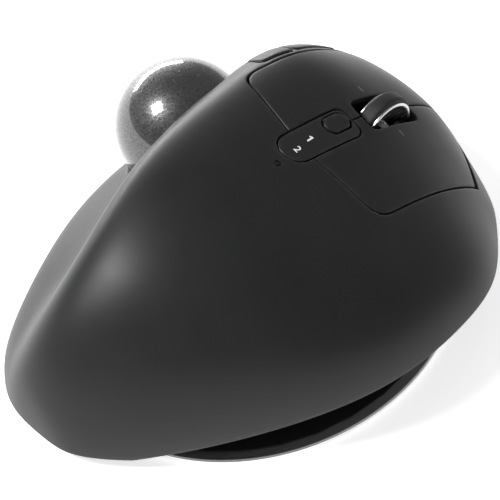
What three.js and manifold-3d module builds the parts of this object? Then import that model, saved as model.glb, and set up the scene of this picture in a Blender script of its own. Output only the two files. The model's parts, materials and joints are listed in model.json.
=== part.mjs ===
// Wireless thumb-ball pointing device on a tilting steel base, in millimetres, +Z up.
// +X is the little-finger side, +Y is the key end. The origin is on the desk, under the middle
// of the shell. The shell is one closed spline skin, hollowed, and cut into cover, keys and panels.
import * as THREE from 'three';
import { mergeVertices } from 'three/addons/utils/BufferGeometryUtils.js';
import Module from 'manifold-3d';

const wasm = await Module();
wasm.setup();

// ---- driving dimensions -----------------------------------------------------------------
const BODY_LENGTH = 132.5;
const BODY_WIDTH = 99.8;
const BODY_TOP = 52;
const WALL = 2;
const SEAM = 0.4;
const FIT = 0.3;

const MAT_THICKNESS = 0.8;
const PLATE_THICKNESS = 1.6;
const PLATE_HALF_WIDTH = 43.8;
const PLATE_HALF_LENGTH = 53.2;
const PLATE_CENTRE = [1.8, 0.2];
const PLATE_CHAMFER = 0.7;
const LINER_THICKNESS = 0.4;
const LINER_INSET = 2.6;

const TILT_ANGLE = THREE.MathUtils.degToRad(20);
const HINGE_X = 15;
const HINGE_DROP = 2.2;
const UNDERSIDE_CLEARANCE = 0.4;
const HINGE_PIN_RADIUS = 1;
const HINGE_STATIONS = [-30, 30];
const FLOOR = 2.2;

const BALL_RADIUS = 17;
const BALL_CLEARANCE = 0.7;
const BALL_INSET = 14.5;
const BALL_SETBACK = 56;
const BALL_HEIGHT = 29;
const CUP_WALL = 2.8;
const BEAD_RADIUS = 1.25;

const FINGER_LINE = 0.6;
const KEY_LENGTH = 52.2;
const LEFT_KEY_REACH = 24.2;
const RIGHT_KEY_REACH = 23.3;
const KEY_TAPER = 2.2;
const KEY_NOSE_HEIGHT = 16;
const KEY_NOSE_GAP = 1.2;
const STRIP_HALF_WIDTH = 4.1;
const STRIP_LENGTH = 23.8;
const STRIP_SETBACK = 34;
const SLOT_HALF_WIDTH = 4.4;
const SLOT_CLEARANCE = 0.18;
const SLOT_LEAN = 0.204;
const SWITCH_SIZE = [12.8, 5.8, 6.5];
const SWITCH_SETBACK = 27;
const SWITCH_OFFSET = 12;
const BOARD = 1.2;

const WHEEL_RADIUS = 8.8;
const WHEEL_PROUD = 3.4;
const WHEEL_SETBACK = 23.8;
const TYRE_WIDTH = 4.2;
const HUB_WIDTH = 5.4;
const AXLE_RADIUS = 1.2;

// ---- small helpers ----------------------------------------------------------------------
const FAR = 200;

function solid(geometry) {
  const bare = geometry.clone();
  bare.deleteAttribute('normal');
  bare.deleteAttribute('uv');
  const merged = mergeVertices(bare, 1e-4);
  const index = merged.index.array;
  const kept = [];
  for (let i = 0; i < index.length; i += 3) {
    const [a, b, c] = [index[i], index[i + 1], index[i + 2]];
    if (a !== b && b !== c && c !== a) kept.push(a, b, c);
  }
  const vertProperties = new Float32Array(merged.attributes.position.array);
  return new wasm.Manifold(new wasm.Mesh({ numProp: 3, vertProperties, triVerts: new Uint32Array(kept) }));
}

function geometryOf(body) {
  const { vertProperties, triVerts } = body.getMesh();
  const geometry = new THREE.BufferGeometry();
  geometry.setAttribute('position', new THREE.BufferAttribute(new Float32Array(vertProperties), 3));
  geometry.setIndex(new THREE.BufferAttribute(new Uint32Array(triVerts), 1));
  return geometry;
}

// A box given by its lowest and highest corners.
function block([x0, y0, z0], [x1, y1, z1]) {
  const box = new THREE.BoxGeometry(x1 - x0, y1 - y0, z1 - z0);
  return solid(box.translate((x0 + x1) / 2, (y0 + y1) / 2, (z0 + z1) / 2));
}

// A round bar from one point to another.
function bar(from, to, radius, sides = 20, endRadius = radius) {
  const a = new THREE.Vector3(...from);
  const along = new THREE.Vector3(...to).sub(a);
  const length = along.length();
  const turn = new THREE.Quaternion().setFromUnitVectors(new THREE.Vector3(0, 1, 0), along.normalize());
  const round = new THREE.CylinderGeometry(endRadius, radius, length, sides).translate(0, length / 2, 0);
  return solid(round.applyQuaternion(turn).translate(a.x, a.y, a.z));
}

function globe(centre, radius, sides = 24) {
  return solid(new THREE.SphereGeometry(radius, sides, sides / 2).translate(...centre));
}

// A plan outline raised from one height to another.
function prism(shape, low, high) {
  const depth = high - low;
  const raised = new THREE.ExtrudeGeometry(shape, { depth, bevelEnabled: false, curveSegments: 8 });
  return solid(raised.translate(0, 0, low));
}

// A section in X and Z carried along Y over the whole model.
function sweptAlongY(points) {
  const shape = new THREE.Shape(points.map(([x, z]) => new THREE.Vector2(x, z)));
  const swept = new THREE.ExtrudeGeometry(shape, { depth: 2 * FAR, bevelEnabled: false });
  return solid(swept.rotateX(Math.PI / 2).translate(0, FAR, 0));
}

function roundedRectangle(x0, y0, x1, y1, radius) {
  const shape = new THREE.Shape();
  shape.moveTo(x0 + radius, y0);
  shape.absarc(x1 - radius, y0 + radius, radius, -Math.PI / 2, 0);
  shape.absarc(x1 - radius, y1 - radius, radius, 0, Math.PI / 2);
  shape.absarc(x0 + radius, y1 - radius, radius, Math.PI / 2, Math.PI);
  shape.absarc(x0 + radius, y0 + radius, radius, Math.PI, 1.5 * Math.PI);
  return shape;
}

const finish = (roughness, metalness, color) => (
  new THREE.MeshStandardMaterial({ color, roughness, metalness }));
const softTouch = () => finish(0.6, 0, 0x3b3e45);
const hardPlastic = () => finish(0.45, 0, 0x17181b);
const glossBlack = () => finish(0.15, 0, 0x0b0b0d);
const steel = () => finish(0.22, 1, 0xc4c6c8);
const silver = () => finish(0.3, 1, 0xaeb0b3);
const rubber = () => finish(0.85, 0, 0x151516);
const circuit = () => finish(0.5, 0, 0x1d4a2c);
const whiteLight = () => finish(0.4, 0, 0xdcdcdc);

const device = new THREE.Group();

function piece(name, body, material, parent = device) {
  const mesh = new THREE.Mesh(geometryOf(body), material);
  mesh.name = name;
  parent.add(mesh);
  return mesh;
}

// ---- the skin ---------------------------------------------------------------------------
// Sections from heel to nose. Each holds its station on Y, then x, z of eleven rails: under,
// low right, right side, right shoulder, upper right, crown, ridge, upper flank, lower flank,
// thumb wing and low left. They steer a cubic B-spline and are not points on it.
const SECTIONS = [
  [-65, [-5, -16, -1, -12, 2, 0, 0, 7, -3, 10, -5, 11, -8, 10, -11, 7, -12, 3, -12, -4, -10, -13]],
  [-63, [-5, -22, 4, -16, 8, 2, 5, 13, -1, 19, -6, 21, -11.5, 20, -16, 14, -19.5, 7, -21, -3, -17, -16]],
  [-55, [-2, -25, 12, -20, 18, 4, 15, 19, 6, 30, -3, 34, -10.5, 33, -16, 26, -23, 13, -33, 3, -26, -18]],
  [-40, [0, -25, 25, -20, 32, 6, 29, 27, 16, 41, 1, 47, -12, 46, -15.8, 40, -21.5, 21, -42.5, 9, -31, -18]],
  [-20, [0, -25, 37, -20, 45.5, 8, 42, 31, 24, 46, 1, 53, -18, 53.5, -22.6, 45.5, -25.5, 25, -51.5, 11, -40, -16]],
  [0, [0, -25, 44, -20, 53, 8, 49, 30, 28, 43, 3, 51.5, -20.4, 53.5, -26.7, 46.5, -29.5, 26, -53.5, 13, -47, -14]],
  [20, [0, -25, 45, -20, 53, 8, 48, 27, 28, 36, 3, 46.5, -20.5, 50.5, -31.5, 44, -34, 26, -50, 13, -48, -14]],
  [38, [0, -25, 43, -20, 50, 7, 45, 20, 27, 28.5, 2, 41.5, -22, 48, -34, 39.5, -38, 23, -45, 11, -44, -14]],
  [52, [0, -25, 32, -20, 37, 3, 34, 12, 25, 20, 2, 34, -21, 37.5, -31, 31, -34, 19, -37, 8, -35, -14]],
  [62, [0, -24, 22, -18, 27, 1, 24, 8, 17, 14.5, 2, 27.5, -17, 28, -24, 23, -27, 13, -28, 4, -26, -12]],
  [66.5, [1, -16, 13, -12, 17, -1, 14, 5, 9, 9, 2, 18, -8, 17, -14, 13, -16, 8, -17, 2, -15, -8]],
];
const RAILS = 11;
const AROUND = 36;
const ALONG = 24;

const sectionRows = SECTIONS.map(([y, xz]) => (
  Array.from({ length: RAILS }, (_, i) => new THREE.Vector3(xz[2 * i], y, xz[2 * i + 1]))));

// Three copies of a section's middle point close the skin at each end.
function endRows(row) {
  const middle = new THREE.Vector3();
  row.forEach((point) => middle.addScaledVector(point, 1 / RAILS));
  const closed = Array.from({ length: RAILS }, () => middle);
  return [closed, closed, closed];
}
const rails = [...endRows(sectionRows[0]), ...sectionRows, ...endRows(sectionRows.at(-1))];
const SPAN = rails.length - 3;

function weights(t) {
  return [(1 - t) ** 3, 3 * t ** 3 - 6 * t ** 2 + 4, -3 * t ** 3 + 3 * t ** 2 + 3 * t + 1, t ** 3]
    .map((w) => w / 6);
}

// Point on the unscaled skin: u runs round through the rails, v runs from heel to nose.
function rawPoint(u, v) {
  const row = Math.min(Math.max(Math.floor(v), 0), SPAN - 1);
  const column = Math.floor(u);
  const alongWeights = weights(v - row);
  const roundWeights = weights(u - column);
  const point = new THREE.Vector3();
  for (let a = 0; a < 4; a += 1) {
    for (let b = 0; b < 4; b += 1) {
      const rail = rails[row + a][(column - 1 + b + RAILS) % RAILS];
      point.addScaledVector(rail, alongWeights[a] * roundWeights[b]);
    }
  }
  return point;
}

const grid = [];
for (let k = 0; k <= ALONG; k += 1) {
  for (let i = 0; i < AROUND; i += 1) grid.push([(i * RAILS) / AROUND, (k * SPAN) / ALONG]);
}
const rawBox = new THREE.Box3().setFromPoints(grid.map(([u, v]) => rawPoint(u, v)));
const rawMiddle = rawBox.getCenter(new THREE.Vector3());
const rawSize = rawBox.getSize(new THREE.Vector3());
const scale = new THREE.Vector3(BODY_WIDTH / rawSize.x, BODY_LENGTH / rawSize.y, BODY_TOP / rawBox.max.z);

function skinPoint(u, v) {
  const point = rawPoint(u, v);
  return new THREE.Vector3(
    (point.x - rawMiddle.x) * scale.x, (point.y - rawMiddle.y) * scale.y, point.z * scale.z);
}

// A point pushed in from the skin along its normal.
function sunkPoint(u, v, depth) {
  const step = 0.02;
  const point = skinPoint(u, v);
  const acrossSkin = skinPoint(u + step, v).sub(skinPoint(u - step, v));
  const alongSkin = skinPoint(u, Math.min(v + step, SPAN)).sub(skinPoint(u, Math.max(v - step, 0)));
  const normal = acrossSkin.cross(alongSkin).normalize();
  return point.addScaledVector(normal, depth);
}

const depths = new Map();

// Closed solid of everything that lies deeper than a given depth below the skin.
function core(depth) {
  if (depths.has(depth)) return depths.get(depth);
  const heel = skinPoint(0, 0).add(new THREE.Vector3(0, depth, 0));
  const nose = skinPoint(0, SPAN).sub(new THREE.Vector3(0, depth, 0));
  const points = [heel];
  for (let k = 2; k <= ALONG - 2; k += 1) {
    for (let i = 0; i < AROUND; i += 1) {
      points.push(sunkPoint((i * RAILS) / AROUND, (k * SPAN) / ALONG, depth));
    }
  }
  points.push(nose);
  const rings = ALONG - 3;
  const triangles = [];
  for (let i = 0; i < AROUND; i += 1) {
    const next = (i + 1) % AROUND;
    triangles.push(0, 1 + i, 1 + next);
    const last = 1 + (rings - 1) * AROUND;
    triangles.push(points.length - 1, last + next, last + i);
    for (let k = 0; k < rings - 1; k += 1) {
      const low = 1 + k * AROUND;
      const high = low + AROUND;
      triangles.push(low + i, high + i, high + next, low + i, high + next, low + next);
    }
  }
  const geometry = new THREE.BufferGeometry().setFromPoints(points);
  geometry.setIndex(triangles);
  depths.set(depth, solid(geometry));
  return depths.get(depth);
}

const body = new THREE.Box3().setFromPoints(grid.map(([u, v]) => skinPoint(u, v)));
const NOSE = body.max.y;
const behindNose = (distance) => NOSE - distance;
const aheadOfHeel = (distance) => body.min.y + distance;

// Height of the upper skin, sunk by a depth, over a place in plan.
function heightAt(x, y, depth = 0) {
  let best = -FAR;
  const corner = (k, i) => sunkPoint((i * RAILS) / AROUND, (k * SPAN) / ALONG, depth);
  const triangle = new THREE.Triangle();
  const weight = new THREE.Vector3();
  const flat = (p) => new THREE.Vector3(p.x, p.y, 0);
  for (let k = 2; k < ALONG - 2; k += 1) {
    for (let i = 0; i < AROUND; i += 1) {
      const ring = [corner(k, i), corner(k, i + 1), corner(k + 1, i + 1), corner(k + 1, i)];
      for (const [a, b, c] of [[0, 1, 2], [0, 2, 3]]) {
        triangle.set(flat(ring[a]), flat(ring[b]), flat(ring[c]));
        triangle.getBarycoord(new THREE.Vector3(x, y, 0), weight);
        if (Math.min(weight.x, weight.y, weight.z) >= 0) {
          best = Math.max(best, ring[a].z * weight.x + ring[b].z * weight.y + ring[c].z * weight.z);
        }
      }
    }
  }
  return best;
}

// ---- underside: two planes that meet under the tilt hinge -------------------------------
const PLATE_TOP = MAT_THICKNESS + PLATE_THICKNESS;
const UNDERSIDE = PLATE_TOP + LINER_THICKNESS + UNDERSIDE_CLEARANCE;
const HINGE_Z = UNDERSIDE + HINGE_DROP;

// Everything above the underside planes, raised square to them.
function above(raise) {
  const drop = HINGE_DROP - raise;
  const apex = [HINGE_X + drop * Math.tan(TILT_ANGLE / 2), HINGE_Z - drop];
  const slope = [apex[0] + FAR * Math.cos(TILT_ANGLE), apex[1] + FAR * Math.sin(TILT_ANGLE)];
  return sweptAlongY([[-FAR, apex[1]], apex, slope, [slope[0], FAR], [-FAR, FAR]]);
}

function undersideAt(x) {
  const apexX = HINGE_X + HINGE_DROP * Math.tan(TILT_ANGLE / 2);
  return UNDERSIDE + Math.max(0, x - apexX) * Math.tan(TILT_ANGLE);
}

const cavity = core(WALL + FIT).intersect(above(FLOOR + FIT));
const fitInside = (solidBody) => solidBody.intersect(cavity);
// Room left under the keys, clear of their travel.
const underKeys = core(WALL + 1.4).intersect(above(FLOOR + FIT));

// ---- base: mat, steel plate, liner and tilt hinge ----------------------------------------
function ellipse(inset) {
  const shape = new THREE.Shape();
  const [x, y] = PLATE_CENTRE;
  shape.absellipse(x, y, PLATE_HALF_WIDTH - inset, PLATE_HALF_LENGTH - inset, 0, 2 * Math.PI);
  return shape;
}

function ellipseSlab(low, high, inset) {
  const depth = high - low;
  const options = { depth, bevelEnabled: false, curveSegments: 16 };
  return solid(new THREE.ExtrudeGeometry(ellipse(inset), options).translate(0, 0, low));
}

function chamferedPlate() {
  const depth = PLATE_THICKNESS - 2 * PLATE_CHAMFER;
  const options = {
    depth,
    curveSegments: 16,
    bevelThickness: PLATE_CHAMFER,
    bevelSize: PLATE_CHAMFER,
    bevelOffset: -PLATE_CHAMFER,
    bevelSegments: 1,
  };
  const slab = new THREE.ExtrudeGeometry(ellipse(0), options);
  return solid(slab.translate(0, 0, MAT_THICKNESS + PLATE_CHAMFER));
}

const base = new THREE.Group();
device.add(base);
const EAR_HALF_WIDTH = 3;
const EAR_HALF_LENGTH = 2;
const EAR_FOOT = 5;
piece('base_mat', ellipseSlab(0, MAT_THICKNESS - 0.02, 1.2), rubber(), base);
piece('base_plate', chamferedPlate(), steel(), base);
const linerLow = PLATE_TOP + 0.02;
let liner = ellipseSlab(linerLow, PLATE_TOP + LINER_THICKNESS, LINER_INSET);
for (const y of HINGE_STATIONS) {
  const reach = [EAR_HALF_WIDTH + FIT, EAR_FOOT + FIT];
  const low = [HINGE_X - reach[0], y - reach[1], 0];
  const high = [HINGE_X + reach[0], y + reach[1], HINGE_Z];
  liner = liner.subtract(block(low, high));
}
piece('plate_liner', liner, rubber(), base);

HINGE_STATIONS.forEach((y, i) => {
  const where = i === 0 ? 'rear' : 'front';
  const footLow = [HINGE_X - EAR_HALF_WIDTH, y - EAR_FOOT, linerLow];
  const footHigh = [HINGE_X + EAR_HALF_WIDTH, y + EAR_FOOT, PLATE_TOP + LINER_THICKNESS];
  const earLow = [HINGE_X - EAR_HALF_WIDTH, y - EAR_HALF_LENGTH, linerLow];
  const earHigh = [HINGE_X + EAR_HALF_WIDTH, y + EAR_HALF_LENGTH, HINGE_Z];
  const crown = [[HINGE_X, y - EAR_HALF_LENGTH, HINGE_Z], [HINGE_X, y + EAR_HALF_LENGTH, HINGE_Z]];
  const pinEnds = [[HINGE_X, y - 5.5, HINGE_Z], [HINGE_X, y + 5.5, HINGE_Z]];
  const bracket = block(footLow, footHigh)
    .add(block(earLow, earHigh))
    .add(bar(...crown, EAR_HALF_WIDTH))
    .subtract(bar(...pinEnds, HINGE_PIN_RADIUS + FIT, 16));
  piece(`hinge_bracket_${where}`, bracket, steel(), base);
  const pin = bar([HINGE_X, y - 5, HINGE_Z], [HINGE_X, y + 5, HINGE_Z], HINGE_PIN_RADIUS, 14);
  piece(`hinge_pin_${where}`, pin, silver(), base);
});

// ---- places that several pieces share ------------------------------------------------------
const ball = new THREE.Vector3(body.min.x + BALL_INSET, behindNose(BALL_SETBACK), BALL_HEIGHT);
const ballOut = new THREE.Vector3(-0.857, 0, 0.514).normalize();
const fromBall = (direction, distance) => (
  ball.clone().addScaledVector(direction, distance).toArray());

const wheelY = behindNose(WHEEL_SETBACK);
const wheelZ = heightAt(FINGER_LINE, wheelY) + WHEEL_PROUD - WHEEL_RADIUS;
const stripBack = behindNose(STRIP_SETBACK + STRIP_LENGTH);
const stripFront = behindNose(STRIP_SETBACK);
const switchY = behindNose(SWITCH_SETBACK);
const keySwitches = [
  ['left', FINGER_LINE - SWITCH_OFFSET],
  ['right', FINGER_LINE + SWITCH_OFFSET],
];

// ---- shell outlines in plan ----------------------------------------------------------------
// Both keys share one outline; grow widens it all round for the opening in the cover.
function keysOutline(grow) {
  const left = FINGER_LINE - LEFT_KEY_REACH - grow;
  const right = FINGER_LINE + RIGHT_KEY_REACH + grow;
  const front = NOSE + 10;
  const back = behindNose(KEY_LENGTH) - grow;
  const leftCorner = back + 5;
  const rightCorner = back + 2.6;
  const corner = 4.5;
  const shape = new THREE.Shape();
  shape.moveTo(left + KEY_TAPER, front);
  shape.lineTo(left, leftCorner + corner);
  shape.quadraticCurveTo(left, leftCorner, left + corner, leftCorner - 0.9);
  shape.quadraticCurveTo(FINGER_LINE - 8, back + 1, FINGER_LINE, back);
  shape.lineTo(FINGER_LINE + 3, back);
  shape.lineTo(right - corner, rightCorner - 0.4);
  shape.quadraticCurveTo(right, rightCorner, right, rightCorner + corner);
  shape.lineTo(right - KEY_TAPER, front);
  return shape;
}

function stripOutline(grow) {
  const half = STRIP_HALF_WIDTH + grow;
  const backCentre = stripBack + STRIP_HALF_WIDTH;
  const frontCorner = 2.6 + grow;
  const front = stripFront + grow;
  const shape = new THREE.Shape();
  shape.absarc(FINGER_LINE, backCentre, half, Math.PI, 2 * Math.PI);
  shape.absarc(FINGER_LINE + half - frontCorner, front - frontCorner, frontCorner, 0, Math.PI / 2);
  shape.absarc(FINGER_LINE - half + frontCorner, front - frontCorner, frontCorner, Math.PI / 2, Math.PI);
  return shape;
}

function easyOutline(grow) {
  const [halfWidth, halfLength, cut] = [2.2 + grow, 3.7 + grow, 1.5];
  const y = stripFront - 4.6;
  const corners = [
    [-halfWidth, halfLength - cut], [-halfWidth + cut, halfLength],
    [halfWidth - cut, halfLength], [halfWidth, halfLength - cut],
    [halfWidth, cut - halfLength], [halfWidth - cut, -halfLength],
    [cut - halfWidth, -halfLength], [-halfWidth, cut - halfLength],
  ];
  return new THREE.Shape(corners.map(([dx, dy]) => new THREE.Vector2(FINGER_LINE - 0.9 + dx, y + dy)));
}

function slotOutline() {
  const [x0, x1] = [FINGER_LINE - SLOT_HALF_WIDTH, FINGER_LINE + SLOT_HALF_WIDTH];
  const halfChord = Math.sqrt(WHEEL_RADIUS ** 2 - (WHEEL_RADIUS - WHEEL_PROUD - WALL) ** 2);
  const reach = halfChord + SLOT_CLEARANCE;
  const middle = wheelY + SLOT_LEAN * (WHEEL_RADIUS - WHEEL_PROUD);
  return roundedRectangle(x0, middle - reach, x1, middle + reach, 1.6);
}

// Left edge of the left key at a station on Y.
function leftSeam(y) {
  const run = (y - behindNose(KEY_LENGTH)) / (KEY_LENGTH + 10);
  return FINGER_LINE - LEFT_KEY_REACH + KEY_TAPER * run;
}

// Side keys lie along the ridge, left of the left key. They are cut and pressed along a leaning
// line; lean turns X and Z into the frame of that line, in which their outlines are drawn.
const LEAN = Math.atan2(0.6, 0.8);
const SIDE_KEY_WIDTH = 6.4;
const SIDE_KEY_MARGIN = 2.4;
const SIDE_KEY_ENDS = { back: [38.8, 28.4], forward: [27.8, 13.6] };
const lean = (x, z) => x * Math.cos(LEAN) + z * Math.sin(LEAN);

function sideKeyEdge(y) {
  const x = leftSeam(y) - SIDE_KEY_MARGIN;
  return lean(x, heightAt(x, y));
}

function sideKeyOutline(name, grow) {
  const [rear, fore] = SIDE_KEY_ENDS[name].map(behindNose);
  const [x0, x1] = [sideKeyEdge(rear) + grow, sideKeyEdge(fore) + grow];
  const width = SIDE_KEY_WIDTH + 2 * grow;
  const [y0, y1] = [rear - grow, fore + grow];
  const soft = 1.6;
  const shape = new THREE.Shape();
  shape.moveTo(x0, y0 + soft);
  shape.lineTo(x1, y1 - soft);
  shape.quadraticCurveTo(x1, y1, x1 - soft, y1);
  shape.lineTo(x1 - width + soft, y1);
  shape.quadraticCurveTo(x1 - width, y1, x1 - width, y1 - soft);
  shape.lineTo(x0 - width, y0 + soft);
  shape.quadraticCurveTo(x0 - width, y0, x0 - width + soft, y0);
  shape.lineTo(x0 - soft, y0);
  shape.quadraticCurveTo(x0, y0, x0, y0 + soft);
  return shape;
}

function leaningPrism(shape, low, high) {
  const depth = high - low;
  const raised = new THREE.ExtrudeGeometry(shape, { depth, bevelEnabled: false, curveSegments: 3 });
  return solid(raised.translate(0, 0, low).rotateY(-LEAN));
}

const SKY = 120;
const wall = core(0).subtract(core(WALL));
const nosePlane = (raise) => block([-FAR, -FAR, KEY_NOSE_HEIGHT + raise], [FAR, FAR, FAR]);

// ---- top cover ---------------------------------------------------------------------------
const tilting = new THREE.Group();
device.add(tilting);

// Where the skin's side stands at a station on Y: side -1 is the thumb's, 1 the far one.
function sideAt(y, side) {
  let reach = 0;
  for (let i = 0; i < AROUND; i += 1) {
    for (let k = 0; k < ALONG; k += 1) {
      const near = skinPoint((i * RAILS) / AROUND, (k * SPAN) / ALONG);
      const next = skinPoint((i * RAILS) / AROUND, ((k + 1) * SPAN) / ALONG);
      if (near.y <= y && next.y > y && near.z > UNDERSIDE) {
        const across = near.lerp(next, (y - near.y) / (next.y - near.y)).x;
        reach = Math.max(reach, across * side);
      }
    }
  }
  return reach * side;
}
const SCREW_RADIUS = 1;
const BOSS_RADIUS = 2.8;
const SCREW_PLACES = [
  [sideAt(behindNose(20), -1) + 5.55, behindNose(20)], [sideAt(behindNose(29), 1) - 12.42, behindNose(29)],
  [-16, aheadOfHeel(21.5)], [12, aheadOfHeel(21.5)],
];
const BOSS_SEAT = 2;
const screwHead = (x) => undersideAt(x + 2.6) + 0.3;

const PRECISION = { radius: 3, y: behindNose(31), x: body.min.x + 12 };
const precisionTop = heightAt(PRECISION.x, PRECISION.y);
const precisionOut = new THREE.Vector3(-0.8, 0.1, 0.6).normalize();
const precisionPoint = new THREE.Vector3(PRECISION.x, PRECISION.y, precisionTop);
const fromPrecision = (distance) => (
  precisionPoint.clone().addScaledVector(precisionOut, distance).toArray());

let keysOpening = prism(keysOutline(SEAM), 0, SKY).intersect(nosePlane(0));
keysOpening = keysOpening.add(prism(stripOutline(SEAM), HINGE_Z + 20, SKY));
for (const name of Object.keys(SIDE_KEY_ENDS)) {
  keysOpening = keysOpening.add(leaningPrism(sideKeyOutline(name, SEAM), 20, SKY));
}

let cover = wall.intersect(above(0));
for (const [x, y] of SCREW_PLACES) {
  const foot = undersideAt(x) + FLOOR + BOSS_SEAT + FIT;
  const boss = bar([x, y, foot], [x, y, SKY], BOSS_RADIUS, 16)
    .intersect(core(WALL / 2))
    .intersect(above(FLOOR + BOSS_SEAT + FIT));
  cover = cover.add(boss);
}
cover = cover
  .subtract(keysOpening)
  .subtract(globe(ball.toArray(), BALL_RADIUS + BALL_CLEARANCE + 0.1, 24))
  .subtract(bar(ball.toArray(), fromBall(ballOut, 60), BALL_RADIUS + BALL_CLEARANCE, 32))
  .subtract(bar(fromPrecision(-6), fromPrecision(8), PRECISION.radius + SEAM, 20));
for (const [x, y] of SCREW_PLACES) {
  cover = cover.subtract(bar([x, y, -5], [x, y, screwHead(x) + 10.6], SCREW_RADIUS + FIT, 12));
}

const PORT = { halfWidth: 4, height: 3, depth: 6, low: 0 };
const boardLow = undersideAt(0) + FLOOR + 3.1;
PORT.low = boardLow + BOARD + FIT;
const portX = FINGER_LINE - 6;
const portOpening = block(
  [portX - PORT.halfWidth - FIT, NOSE - 14, PORT.low - FIT],
  [portX + PORT.halfWidth + FIT, NOSE + 5, PORT.low + PORT.height + FIT]);
cover = cover.subtract(portOpening);
const STATUS = [FINGER_LINE + 1.4, stripBack - 3.4];
cover = cover.subtract(bar([...STATUS, 30], [...STATUS, SKY], 1, 10));
piece('top_cover', cover, softTouch(), tilting);

// ---- bottom case, nested in the cover -----------------------------------------------------
const EJECT_RADIUS = 5;
const SLIDER = { along: 12, y: -20, width: 3.6, length: 6, travel: 4 };

const slant = new THREE.Group();
slant.rotation.y = -TILT_ANGLE;
slant.position.set(HINGE_X + HINGE_DROP * Math.tan(TILT_ANGLE / 2), 0, UNDERSIDE);
tilting.add(slant);
slant.updateMatrix();
// Turns a solid that was drawn flat on the sloping floor into the device's frame.
const onSlant = (solidBody) => solid(geometryOf(solidBody).applyMatrix4(slant.matrix));

let bottom = core(WALL + FIT).intersect(above(0)).subtract(above(FLOOR));
for (const [x, y] of SCREW_PLACES) {
  const seat = bar([x, y, undersideAt(x) + 0.4], [x, y, undersideAt(x) + 12], BOSS_RADIUS + 0.6, 16)
    .intersect(core(WALL + FIT))
    .intersect(above(0.5))
    .subtract(above(FLOOR + BOSS_SEAT));
  bottom = bottom.add(seat);
}
const HOUSING = { left: 6.6, right: 7.4, halfLength: 7.5, top: 4.5 };
function hingeHousing(y, grow) {
  return block(
    [HINGE_X - HOUSING.left - grow, y - HOUSING.halfLength - grow, UNDERSIDE + 1.5],
    [HINGE_X + HOUSING.right + grow, y + HOUSING.halfLength + grow, HINGE_Z + HOUSING.top + grow]);
}
for (const y of HINGE_STATIONS) {
  const housing = hingeHousing(y, 0);
  const recess = block([HINGE_X - 4.6, y - 3.4, 0], [HINGE_X + 5.4, y + 3.4, HINGE_Z + HOUSING.top - 1]);
  const footRoom = block([HINGE_X - 4.6, y - 5.8, 0], [HINGE_X + 5.4, y + 5.8, UNDERSIDE + 0.7]);
  const bore = bar([HINGE_X, y - 5.8, HINGE_Z], [HINGE_X, y + 5.8, HINGE_Z], HINGE_PIN_RADIUS + FIT, 16);
  bottom = bottom.add(housing.intersect(above(1))).subtract(recess).subtract(footRoom).subtract(bore);
}
for (const [x, y] of SCREW_PLACES) {
  const head = screwHead(x);
  bottom = bottom
    .subtract(bar([x, y, -5], [x, y, head + 1.6], 2.4, 16))
    .subtract(bar([x, y, -5], [x, y, head + 20], SCREW_RADIUS + FIT, 12));
}
const sliderSlot = block(
  [SLIDER.along - SLIDER.width / 2 - FIT, SLIDER.y - FIT, -2],
  [SLIDER.along + SLIDER.width / 2 + FIT, SLIDER.y + SLIDER.length + SLIDER.travel + FIT, FLOOR + 2]);
bottom = bottom
  .subtract(bar([ball.x, ball.y, -5], [ball.x, ball.y, 20], EJECT_RADIUS, 24))
  .subtract(onSlant(sliderSlot));
piece('bottom_case', bottom, hardPlastic(), tilting);

// ---- keys -----------------------------------------------------------------------------------
const PLUNGER_HEIGHT = 0.8;
const STEM_RADIUS = 1.6;
const KEY_TRAVEL = 0.7;
// Lowest height of the shell's underside over a rectangle in plan.
function roofOver(x, y, halfX, halfY) {
  const corners = [[-1, -1], [-1, 1], [1, -1], [1, 1]];
  return Math.min(...corners.map(([i, j]) => heightAt(x + i * halfX, y + j * halfY, WALL)));
}
const roofs = keySwitches.map(([, x]) => roofOver(x, switchY, SWITCH_SIZE[1] / 2, SWITCH_SIZE[0] / 2));
const switchLow = Math.min(...roofs) - KEY_TRAVEL - 3 * FIT - SWITCH_SIZE[2];

const CHEEK = { inner: HUB_WIDTH / 2 + 0.35, thickness: 0.9, halfLength: 2.8, top: 1.9, swing: 1.2 };
const cheekOuter = CHEEK.inner + CHEEK.thickness;
const carrierRoom = block(
  [FINGER_LINE - cheekOuter - CHEEK.swing, wheelY - CHEEK.halfLength - 0.6, 0],
  [FINGER_LINE + cheekOuter + CHEEK.swing, wheelY + CHEEK.halfLength + 0.6, wheelZ + CHEEK.top + 0.7]);

const keyPair = wall
  .intersect(prism(keysOutline(0), 0, SKY))
  .intersect(nosePlane(KEY_NOSE_GAP))
  .subtract(prism(stripOutline(SEAM), 0, SKY))
  .subtract(prism(slotOutline(), 0, SKY))
  .subtract(carrierRoom);
const centre = FINGER_LINE;
const halves = {
  left: block([-FAR, -FAR, -FAR], [centre - SEAM / 2, FAR, FAR]),
  right: block([centre + SEAM / 2, -FAR, -FAR], [FAR, FAR, FAR]),
};
keySwitches.forEach(([side, x]) => {
  const stemLow = switchLow + SWITCH_SIZE[2] + PLUNGER_HEIGHT + FIT;
  const stem = bar([x, switchY, stemLow], [x, switchY, SKY], STEM_RADIUS, 14).intersect(core(WALL / 2));
  piece(`${side}_key`, keyPair.intersect(halves[side]).add(stem), softTouch(), tilting);
});

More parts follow.
